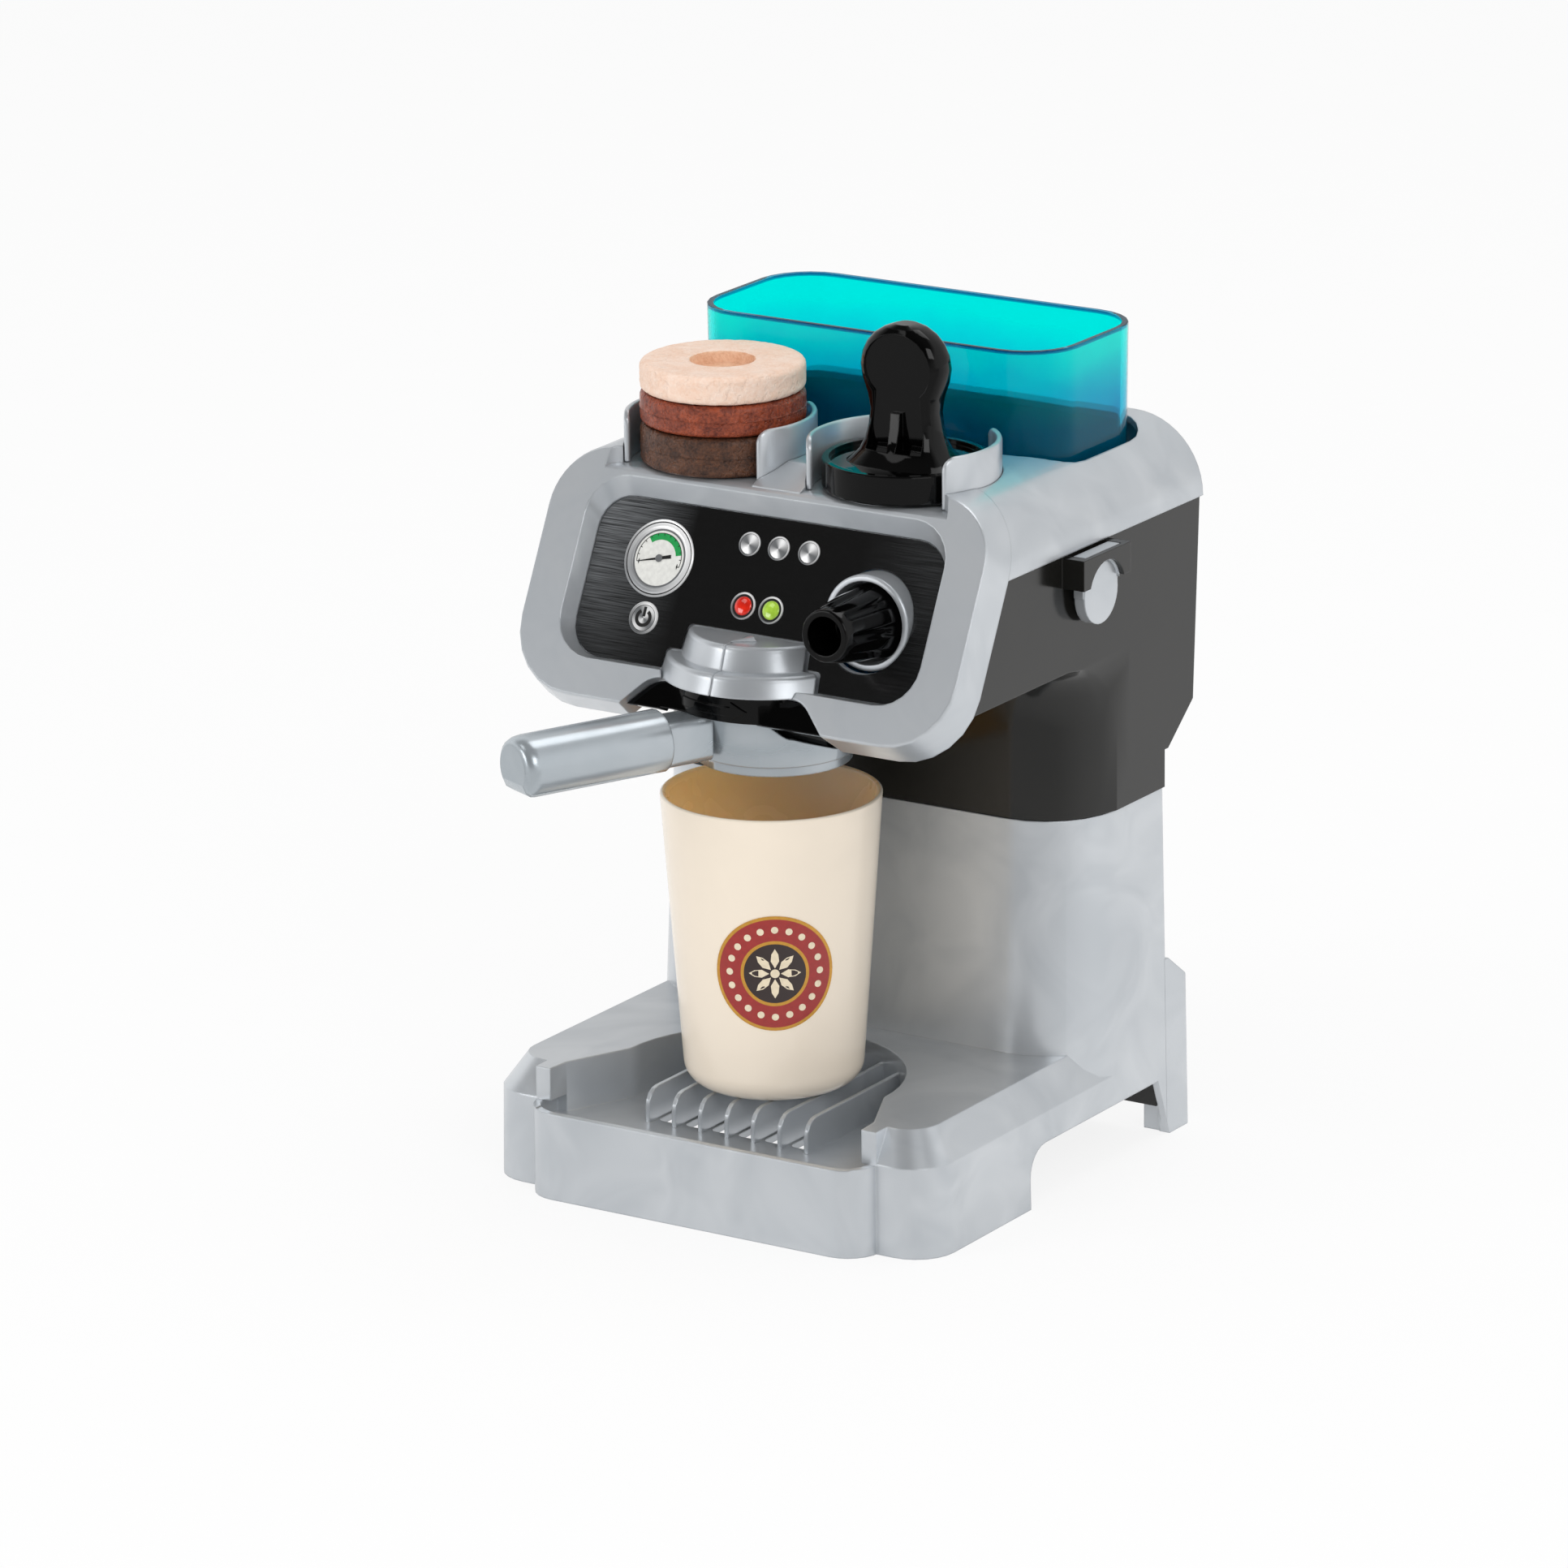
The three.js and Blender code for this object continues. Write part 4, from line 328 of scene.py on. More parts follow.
def lamp_gel(name, colour, shade):
    """Domed lamp print: clear gloss gel over uneven, bright ink."""
    material, tree, where = blank(name)
    cloud = add(tree, NOISE, {"Vector": where, "Scale": 1 / (2.4 * MM), "Detail": 1.0})
    speck = add(tree, RANGE, {VALUE: cloud, FROM_LOW: 0.35, FROM_HIGH: 0.65})
    inputs = {"Roughness": 0.12, "Coat Weight": 1.0, "Coat Roughness": 0.03}
    finish(tree, speck, rgba(shade), rgba(colour), inputs)
    return material


def zinc_steel():
    """Zinc-plated screw steel: cool grey with a fine grain."""
    material, tree, where = blank("zinc_steel")
    fine = add(tree, NOISE, {"Vector": where, "Scale": 1 / (0.8 * MM), "Detail": 3.0})
    rough = {VALUE: fine, FROM_LOW: 0.3, FROM_HIGH: 0.7, TO_LOW: 0.25, TO_HIGH: 0.4}
    inputs = {"Metallic": 1.0, "Roughness": add(tree, RANGE, rough)}
    finish(tree, fine, rgba(linear("#8e9092")), rgba(linear("#b9bbbd")), inputs)
    return material


# Meshes


def finished(name, mesh, body, *materials):
    """Makes a mesh a piece that rides on a body."""
    piece = bpy.data.objects.new(name, mesh)
    bpy.context.scene.collection.objects.link(piece)
    mesh.materials.clear()
    for material in materials:
        mesh.materials.append(material)
    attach(piece, body)
    return piece


def evaluated(piece):
    """Turns a piece with modifiers into a plain mesh."""
    graph = bpy.context.evaluated_depsgraph_get()
    mesh = bpy.data.meshes.new_from_object(piece.evaluated_get(graph))
    piece.modifiers.clear()
    return mesh


def moulded(node, material, edge, crease=22, reshaped=None):
    """Stands for a CAD piece: the same shape with its corners eased and its curves smooth."""
    mesh = frame["nodes"][node].data.copy()
    bm = bmesh.new()
    bm.from_mesh(mesh)
    if reshaped:
        for vert in bm.verts:
            vert.co = reshaped(vert.co / MM) * MM
    bmesh.ops.remove_doubles(bm, verts=bm.verts, dist=0.002 * MM)
    bmesh.ops.dissolve_limit(
        bm,
        angle_limit=math.radians(0.7),
        use_dissolve_boundaries=False,
        verts=bm.verts,
        edges=bm.edges,
    )
    bm.to_mesh(mesh)
    bm.free()
    mesh.shade_smooth()
    if not edge:
        mesh.set_sharp_from_angle(angle=math.radians(crease))
    draft = bpy.data.objects.new(node + "_draft", mesh)
    bpy.context.scene.collection.objects.link(draft)
    if edge:
        bevel = draft.modifiers.new("eased", "BEVEL")
        bevel.width = edge * MM
        bevel.segments = 2
        bevel.limit_method = "ANGLE"
        bevel.angle_limit = math.radians(crease)
        bevel.miter_outer = "MITER_ARC"
    evened = draft.modifiers.new("evened", "WEIGHTED_NORMAL")
    evened.keep_sharp = True
    mesh = evaluated(draft)
    bpy.data.objects.remove(draft)
    piece = finished(node + "_moulding", mesh, BODY_OF[node], material)
    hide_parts(node)
    return piece


def box_mm(node):
    """The lowest and highest corners of a CAD piece, in millimetres."""
    return [Vector(corner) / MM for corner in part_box(node)]


def dressed(node, material):
    """Gives a CAD piece that stays its better material."""
    for slot in frame["nodes"][node].material_slots:
        slot.material = material


def polar(bm, inner, outer, steps, out, start=0, sweep=360, rings=1):
    """Flat ring, disc or part of one, as a polar grid in millimetres."""
    columns = steps if sweep >= 360 else steps + 1
    radii = [inner + (outer - inner) * k / rings for k in range(rings + 1)]
    grid = []
    for i in range(columns):
        angle = math.radians(start + sweep * i / steps)
        x, y = math.cos(angle), math.sin(angle)
        grid.append([bm.verts.new((r * x, r * y, out)) for r in radii])
    for i in range(steps):
        here = grid[i]
        after = grid[(i + 1) % columns]
        for k in range(rings):
            bm.faces.new((here[k], here[k + 1], after[k + 1], after[k]))


def turned(bm, profile, steps):
    """Round piece from (radius, out) points, in millimetres."""
    grid = []
    for i in range(steps):
        angle = 2 * math.pi * i / steps
        x, y = math.cos(angle), math.sin(angle)
        grid.append([bm.verts.new((r * x, r * y, out)) for r, out in profile])
    for i in range(steps):
        here = grid[i]
        after = grid[(i + 1) % steps]
        for k in range(len(profile) - 1):
            bm.faces.new((here[k], after[k], after[k + 1], here[k + 1]))


def thickened(bm, depth):
    """Closes flat faces into slabs that go depth millimetres down."""
    tops = bm.faces[:]
    outline = [edge.verts[:] for edge in bm.edges if edge.is_boundary]
    below = {vert: bm.verts.new(vert.co - Vector((0, 0, depth))) for vert in bm.verts[:]}
    for face in tops:
        bm.faces.new([below[vert] for vert in reversed(face.verts[:])])
    for first, second in outline:
        bm.faces.new((first, second, below[second], below[first]))


def settled(bm, name, place, body, *materials):
    """Merges, turns outwards and places what was drawn in millimetres, and makes it a piece."""
    bmesh.ops.remove_doubles(bm, verts=bm.verts, dist=0.001)
    bmesh.ops.recalc_face_normals(bm, faces=bm.faces)
    for vert in bm.verts:
        vert.co = place(vert.co)
    bmesh.ops.recalc_face_normals(bm, faces=bm.faces)
    mesh = bpy.data.meshes.new(name)
    bm.to_mesh(mesh)
    bm.free()
    mesh.shade_smooth()
    mesh.set_sharp_from_angle(angle=math.radians(40))
    return finished(name, mesh, body, *materials)


def printed(name, place, body, ink, inner, outer, steps, out, depth=0.2, **grid):
    """A flat ring, disc or arc of ink, out millimetres over the surface and depth thick."""
    bm = bmesh.new()
    polar(bm, inner, outer, steps, out, **grid)
    thickened(bm, depth)
    settled(bm, name, place, body, ink)


def turned_rim(name, place, radius, shape, steps, material):
    """A turned rim on the panel, closed from (distance from the radius, out) points."""
    bm = bmesh.new()
    turned(bm, [(radius + away, out) for away, out in (*shape, shape[0])], steps)
    settled(bm, name, place, HOUSING, material)


def marks_tree():
    """Geometry Nodes: equal marks set round an arc."""
    tree = bpy.data.node_groups.new("marks_round_an_arc", "GeometryNodeTree")
    tree.is_modifier = True
    sockets = (
        ("Count", "NodeSocketInt"),
        ("Radius", "NodeSocketFloat"),
        ("Start", "NodeSocketFloat"),
        ("Sweep", "NodeSocketFloat"),
        ("Size", "NodeSocketVector"),
        ("Roundness", "NodeSocketInt"),
        ("Material", "NodeSocketMaterial"),
    )
    for name, kind in sockets:
        tree.interface.new_socket(name, in_out="INPUT", socket_type=kind)
    tree.interface.new_socket("Geometry", in_out="OUTPUT", socket_type="NodeSocketGeometry")
    given = add(tree, "NodeGroupInput").outputs
    arc = add(
        tree,
        "GeometryNodeCurveArc",
        {
            "Resolution": given["Count"],
            "Radius": given["Radius"],
            "Start Angle": given["Start"],
            "Sweep Angle": given["Sweep"],
        },
    )
    points = add(tree, "GeometryNodeCurveToPoints", {"Curve": arc}, mode="EVALUATED")
    mark = add(
        tree,
        "GeometryNodeMeshCylinder",
        {"Vertices": given["Roundness"], "Radius": 0.5, "Depth": 1.0},
    )
    along = add(
        tree,
        "FunctionNodeAlignRotationToVector",
        {"Vector": points.outputs["Tangent"]},
        axis="Y",
    )
    placed = add(
        tree,
        "GeometryNodeInstanceOnPoints",
        {"Points": points, "Instance": mark, "Rotation": along, "Scale": given["Size"]},
    )
    real = add(tree, "GeometryNodeRealizeInstances", {"Geometry": placed})
    coloured = add(
        tree, "GeometryNodeSetMaterial", {"Geometry": real, "Material": given["Material"]}
    )
    add(tree, "NodeGroupOutput", {"Geometry": coloured})
    return tree


def marks(name, place, body, material, count, radius, start, sweep, size, roundness, lift):
    """A piece of equal marks round an arc, drawn lift millimetres over the surface."""
    carrier = bpy.data.objects.new(name + "_draft", bpy.data.meshes.new(name))
    bpy.context.scene.collection.objects.link(carrier)
    modifier = carrier.modifiers.new("marks", "NODES")
    tree = bpy.data.node_groups.get("marks_round_an_arc") or marks_tree()
    modifier.node_group = tree
    values = {
        "Count": count,
        "Radius": radius,
        "Start": math.radians(start),
        "Sweep": math.radians(sweep),
        "Size": size,
        "Roundness": roundness,
        "Material": material,
    }
    for item in tree.interface.items_tree:
        if item.in_out == "INPUT":
            modifier[item.identifier] = values[item.name]
    mesh = evaluated(carrier)
    bpy.data.objects.remove(carrier)
    for vert in mesh.vertices:
        vert.co = place(vert.co + Vector((0, 0, lift)))
    return finished(name, mesh, body, material)


# Sizes and colours that a user would change


def colour_setting(name, description, code):
    """A colour that a user would change, from its sRGB hex code."""
    return FloatVectorProperty(
        name=name, description=description, subtype="COLOR", min=0, max=1, default=linear(code)
    )


def size_setting(name, description, default):
    """A size in millimetres that a user would change."""
    return FloatProperty(name=name, description=description + ", in millimetres", default=default)


class ToyMachineMouldings(bpy.types.PropertyGroup):
    pearl: colour_setting("Pearl", "Silver of the hood, column and base", "#d0d4d8")
    pearl_shade: colour_setting("Pearl shade", "Darker smears in the silver", "#c0c5ca")
    bright: colour_setting("Bright silver", "Silver of the portafilter", "#bcc3c8")
    bright_shade: colour_setting("Bright shade", "Darker smears in that silver", "#adb6bc")
    body: colour_setting("Body", "Black of the upper body", "#141412")
    body_bloom: colour_setting("Body bloom", "Haze on the upper body", "#1b1a18")
    jet: colour_setting("Jet", "Black of the knob, collar and tamper", "#030303")
    edge: size_setting("Edge", "Rounding of moulded edges", 0.6)
    fine_edge: size_setting("Fine edge", "Rounding of small pieces' edges", 0.35)


class ToyMachinePanel(bpy.types.PropertyGroup):
    ground: colour_setting("Ground", "Black of the brushed plate", "#080808")
    # The glow colour is the painted highlight of the brushed plate's lines.
    glow: colour_setting("Glow", "Lighter lines of the brushed plate", "#8c8f92")
    dial: colour_setting("Dial", "White of the gauge", "#e9e9e4")
    green: colour_setting("Green", "Green arc of the gauge", "#12a04e")
    red_lamp: colour_setting("Red lamp", "Lit red lamp", "#e8260d")
    green_lamp: colour_setting("Green lamp", "Lit green lamp", "#b4dc4a")
    gauge_radius: size_setting("Gauge", "Outer radius of the gauge's ring", 13.2)
    button_radius: size_setting("Button", "Radius of a printed button", 4.1)
    lamp_radius: size_setting("Lamp", "Outer radius of a lamp's ring", 4.7)
    sign_radius: size_setting("Sign", "Radius of the power sign", 5.6)
    ticks: IntProperty(name="Ticks", description="Fine ticks of the gauge", default=13, min=2)


class ToyMachineLoose(bpy.types.PropertyGroup):
    tank: colour_setting("Tank", "Turquoise of the water tank", "#00f4ec")
    # The tank's deeper, bluer lower tone is a painted shade.
    tank_painted_shade: colour_setting("Tank deep", "Bluer lower part of the tank", "#0cbfe0")
    tank_rim: colour_setting("Tank rim", "Dark upper edge of the tank", "#0a6f9e")
    cream_pad: colour_setting("Cream pad", "Top coffee pad", "#f8dfce")
    # The hollow's darker colour is a painted shade.
    hollow: colour_setting("Hollow", "Hollow of the top pad", "#efc4a4")
    red_pad: colour_setting("Red-brown pad", "Middle coffee pad", "#a04c30")
    dark_pad: colour_setting("Dark pad", "Bottom coffee pad", "#633f2b")
    cup_outside: colour_setting("Cup", "Outside of the cup", "#f5e8d6")
    cup_inside: colour_setting("Cup inside", "Inside of the cup", "#ffc8a8")
    seal_red: colour_setting("Seal red", "Band of the cup's seal", "#a3211c")
    seal_gold: colour_setting("Seal gold", "Rims of the cup's seal", "#d39a34")
    seal_dark: colour_setting("Seal dark", "Middle of the cup's seal", "#2a1410")
    seal_cream: colour_setting("Seal cream", "Dots and flower of the cup's seal", "#f2e2c4")
    seal_radius: size_setting("Seal", "Radius of the cup's seal", 20.2)
    seal_height: size_setting("Seal height", "Height of the seal's middle over the foot", 47.2)
    seal_turn: FloatProperty(
        name="Seal turn",
        description="Where the seal faces, from the cup's right",
        subtype="ANGLE",
        default=math.radians(-56.2),
    )
    beads: IntProperty(name="Beads", description="Dots round the seal's band", default=20, min=3)


class ToyMachineStage(bpy.types.PropertyGroup):
    azimuth: FloatProperty(
        name="Azimuth", description="Camera's side", subtype="ANGLE", default=math.radians(32.76)
    )
    elevation: FloatProperty(
        name="Elevation", description="Camera's rise", subtype="ANGLE", default=math.radians(16.71)
    )
    roll: FloatProperty(
        name="Roll", description="Camera's tilt", subtype="ANGLE", default=math.radians(0.62)
    )
    distance: FloatProperty(
        name="Distance", description="Camera to target", unit="LENGTH", default=2.9157
    )
    height: FloatProperty(
        name="Height", description="Target over the floor", unit="LENGTH", default=0.13705
    )
    lens: FloatProperty(name="Lens", description="Focal length, in millimetres", default=202.49)
    floor: colour_setting("Floor", "Colour of the floor", "#fafafa")
    key: FloatProperty(name="Key", description="Power of the main lamp, in watts", default=9)
    fill: FloatProperty(name="Fill", description="Power of the side lamp, in watts", default=3)
    front: FloatProperty(name="Front", description="Power of the low lamp, in watts", default=7)
    top: FloatProperty(name="Top", description="Power of the rear top lamp, in watts", default=5)
    sky: FloatProperty(name="Sky", description="Strength of the all-round light", default=0.72)
    ceiling: FloatProperty(
        name="Ceiling", description="Brightness of the ceiling in reflections", default=0.15
    )
    front_wall: FloatProperty(
        name="Front wall", description="Brightness of the room's front in reflections", default=0.45
    )
    whiteness: FloatProperty(
        name="Whiteness", description="Share of the floor that shows white", default=0.85
    )


class ToyMachineSettings(bpy.types.PropertyGroup):
    mouldings: PointerProperty(type=ToyMachineMouldings)
    panel: PointerProperty(type=ToyMachinePanel)
    loose: PointerProperty(type=ToyMachineLoose)
    stage: PointerProperty(type=ToyMachineStage)


def settings():
    """The sizes and colours that the pieces are made by."""
    return bpy.context.scene.toy_machine


# Pieces


class TOYMACHINE_OT_silver_mouldings(bpy.types.Operator):
    """Makes the hood, base, group head, knob socket and side button in pearl silver"""

    bl_idname = "toymachine.silver_mouldings"
    bl_label = "Silver mouldings"

    def execute(self, context):
        look = settings().mouldings
        pearl = pearl_abs("pearl_abs", look.pearl, look.pearl_shade, 0.3, 0.6)
        for node in ("hood", "base"):
            moulded(node, pearl, look.edge)
        for node in ("group_head", "knob_socket", "side_button"):
            moulded(node, pearl, look.fine_edge)
        self.wedge(pearl)
        return {"FINISHED"}

    def wedge(self, pearl):
        """The small raised wedge on top of the group head."""
        top = box_mm("group_head")[1].z
        right, ahead = 2.6, 22.4
        turn = math.radians(42)
        low = [(-4.2, -0.5, 0), (-4.2, 0.5, 0), (4.2, 1.9, 0), (4.2, -1.9, 0)]
        high = [(-3.9, -0.2, 0.3), (-3.9, 0.2, 0.3), (3.4, 1.1, 1.5), (3.4, -1.1, 1.5)]
        bm = bmesh.new()
        foot = [bm.verts.new(corner) for corner in low]
        lid = [bm.verts.new(corner) for corner in high]
        for i in range(4):
            after = (i + 1) % 4
            bm.faces.new((foot[i], foot[after], lid[after], lid[i]))
        bm.faces.new(lid)
        bm.faces.new(foot[::-1])

        def place(point):
            along = point.x * math.cos(turn) - point.y * math.sin(turn)
            aside = point.x * math.sin(turn) + point.y * math.cos(turn)
            x = MIDDLE_X + (right + along) * MM
            y = GROUP_Y + (aside - ahead) * MM
            return Vector((x, y, (top + point.z) * MM))

        settled(bm, "head_wedge", place, HOUSING, pearl)


class TOYMACHINE_OT_seat_walls(bpy.types.Operator):
    """Makes the curved walls that hold the pads and the tamper, open in front and behind"""

    bl_idname = "toymachine.seat_walls"
    bl_label = "Seat walls"

    def execute(self, context):
        pearl = bpy.data.materials["pearl_abs"]
        # Where each arc starts and ends, in degrees from X, and the rounding of its top corners
        arcs = ((-35, 57, 5.0, 3.5), (123, 215, 3.5, 5.0))
        for node in ("pad_seat_wall", "tamper_seat_wall"):
            bm = bmesh.new()
            for arc in arcs:
                self.wall(bm, box_mm(node), *arc)
            piece = settled(bm, node + "_moulding", lambda p: p * MM, BODY_OF[node], pearl)
            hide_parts(node)
        return {"FINISHED"}

    def wall(self, bm, box, start, end, first, last):
        """One arc of wall in plan, with its top corners rounded by the radii first and last."""
        low, high = box
        outer = (high.x - low.x) / 2
        half = 1.0
        middle = outer - half
        centre = Vector(((low.x + high.x) / 2, high.y - outer, 0))
        length = math.radians(end - start) * middle
        # Across the wall: side and drop from the top, as shares of half its thickness
        shape = ((-1, 0), (-1, -1.0), (-0.7, -0.28), (0, 0), (0.7, -0.28), (1, -1.0), (1, 0))
        feet = (0, len(shape) - 1)
        narrowest = 0.05
        steps = 60
        rows = []
        for i in range(steps + 1):
            along = length * (1 - math.cos(math.pi * i / steps)) / 2
            edge, corner = (along, first) if i < steps / 2 else (length - along, last)
            near = corner - min(edge, corner)
            top = high.z - corner + math.sqrt(corner * corner - near * near)
            blunt = 1 - min(edge / half, 1)
            wide = half * max(math.sqrt(1 - blunt * blunt), narrowest)
            angle = math.radians(start) + along / middle
            away = Vector((math.cos(angle), math.sin(angle), 0))
            row = []
            for k, (side, drop) in enumerate(shape):
                height = low.z if k in feet else top + drop * wide
                place = centre + away * (middle + side * wide)
                row.append(bm.verts.new((place.x, place.y, height)))
            rows.append(row)
        for here, after in zip(rows, rows[1:]):
            for k in range(len(shape)):
                nearby = (k + 1) % len(shape)
                bm.faces.new((here[k], here[nearby], after[nearby], after[k]))
        bm.faces.new(rows[0])
        bm.faces.new(rows[-1])


class TOYMACHINE_OT_portafilter(bpy.types.Operator):
    """Makes the portafilter's bowl and grip in brighter silver"""

    bl_idname = "toymachine.portafilter"
    bl_label = "Portafilter"

    def execute(self, context):
        look = settings().mouldings
        bright = pearl_abs("bright_pearl_abs", look.bright, look.bright_shade, 0.24, 0.6)
        for node in ("filter_bowl", "handle_grip"):
            moulded(node, bright, 0, 30)
        return {"FINISHED"}


class TOYMACHINE_OT_black_mouldings(bpy.types.Operator):
    """Makes the upper body and back cover, and the jet black knob, collar and tamper"""

    bl_idname = "toymachine.black_mouldings"
    bl_label = "Black mouldings"

    def execute(self, context):
        look = settings().mouldings
        body = gloss_abs("black_abs", look.body, look.body_bloom, 0.14, 0.02, 0.42)
        jet = gloss_abs("jet_abs", look.jet, look.jet, 0.05, 0.01, 0.2)
        moulded("upper_body", body, 0, 30, reshaped=self.without_step)
        moulded("back_cover", body, 0, 30)
        moulded("bayonet_collar", jet, 0, 30)
        moulded("control_knob", jet, look.fine_edge)
        moulded("tamper", jet, look.fine_edge, reshaped=self.fuller_grip)
        return {"FINISHED"}

    def without_step(self, point):
        """Brings the neck's sides out to the body's, so that the node's 1 mm step closes."""
        neck, body, half_width = 84.8, 85.9, 86
        front, foot = 58, 122
        middle = MIDDLE_X / MM
        across = point.x - middle
        if neck < abs(across) < body and point.y > front and point.z > foot:
            return Vector((middle + math.copysign(half_width, across), point.y, point.z))
        return point

    def fuller_grip(self, point):
        """Gives the tamper's grip its full girth and height, growing from the disc upwards."""
        disc, blend = 12, 8
        wider, higher = 0.12, 2.2
        low, high = TAMPER_LOW, TAMPER_HIGH
        share = min(max((point.z - low.z - disc) / blend, 0), 1)
        share = share * share * (3 - 2 * share)
        rise = higher * share * (point.z - low.z) / (high.z - low.z)
        grown = 1 + wider * share
        axis = (low + high) / 2
        x = axis.x + (point.x - axis.x) * grown
        y = axis.y + (point.y - axis.y) * grown
        return Vector((x, y, point.z + rise))


class TOYMACHINE_OT_front_plate(bpy.types.Operator):
    """Gives the front plate its brushed print"""

    bl_idname = "toymachine.front_plate"
    bl_label = "Front plate"

    def execute(self, context):
        look = settings().panel
        moulded("front_plate", brushed_print(look.ground, look.glow), 0.2)
        return {"FINISHED"}


class TOYMACHINE_OT_gauge(bpy.types.Operator):
    """Prints the gauge with its ring, dial, green arc, ticks and needle"""

    bl_idname = "toymachine.gauge"
    bl_label = "Gauge"

    def execute(self, context):
        look = settings().panel
        place = on_panel(-41.1, -19.2)
        radius = look.gauge_radius
        # The ring's metal has a painted reflection: white on one side, grey on the other.
        light, shade = linear("#ffffff"), linear("#a4a6a8")
        metal = spun_metal_painted_reflection("gauge_metal", light, shade, place((0, 0, 0)), 1, -40)
        black = print_ink("black_ink", linear("#151515"))
        grey = print_ink("grey_ink", linear("#77797b"), 0.3, 0.3)
        dial = print_ink("dial_ink", look.dial, 0.35)
        green = print_ink("green_ink", look.green)
        outer = ((0, -0.1), (0, 0.3), (-0.3, 0.5), (-0.7, 0.4), (-0.8, 0.1))
        inner = ((-1.1, 0.1), (-1.2, 0.35), (-2.2, 0.5), (-3.0, 0.3), (-3.3, 0.05), (-3.3, -0.1))
        turned_rim("gauge_ring", place, radius, outer + inner, 72, metal)
        # How far each band's edges lie inside the gauge's radius, how high it lies, and its arc
        whole, scale = (0, 360), (-14.5, 208.5)
        bands = (
            ("gauge_groove", black, 1.15, 0.75, 0.16, whole),
            # The grey band is a painted shadow along the inside of the ring.
            ("gauge_shade", grey, 3.85, 3.25, 0.15, whole),
            ("gauge_dial", dial, radius, 3.8, 0.12, whole),
            ("gauge_arc", green, 6.9, 4.8, 0.18, (14, 116)),
            ("gauge_scale", black, 4.8, 4.58, 0.18, scale),
        )
        for name, ink, low, high, out, (start, sweep) in bands:
            inner, outer = radius - low, radius - high
            printed(name, place, HOUSING, ink, inner, outer, 64, out, start=start, sweep=sweep)
        ticks = (
            ("gauge_ticks", look.ticks, 5.1, (0.9, 0.32, 0.1), 0.19),
            ("gauge_end_ticks", 2, 5.5, (1.9, 0.5, 0.1), 0.2),
        )
        for name, count, inset, size, lift in ticks:
            marks(name, place, HOUSING, black, count, radius - inset, *scale, size, 4, lift)
        self.needle(place, radius, black)
        printed("gauge_hub", place, HOUSING, grey, 0, 1.3, 64, 0.45)
        return {"FINISHED"}

    def needle(self, place, radius, black):
        """Draws the needle and its broad tail."""
        bm = bmesh.new()
        angle = math.radians(194)
        along = Vector((math.cos(angle), math.sin(angle), 0))
        aside = Vector((-along.y, along.x, 0))
        lift = Vector((0, 0, 0.35))
        tip = radius - 4.9
        # Where each part ends along the needle, and half its width there
        for (far, slim), (near, broad) in (((tip, 0.1), (0.5, 0.4)), ((-1.0, 0.5), (-4.5, 0.62))):
            outline = [
                along * far + aside * slim,
                along * near + aside * broad,
                along * near - aside * broad,
                along * far - aside * slim,
            ]
            bm.faces.new([bm.verts.new(corner + lift) for corner in outline])
        thickened(bm, 0.2)
        settled(bm, "gauge_needle", place, HOUSING, black)


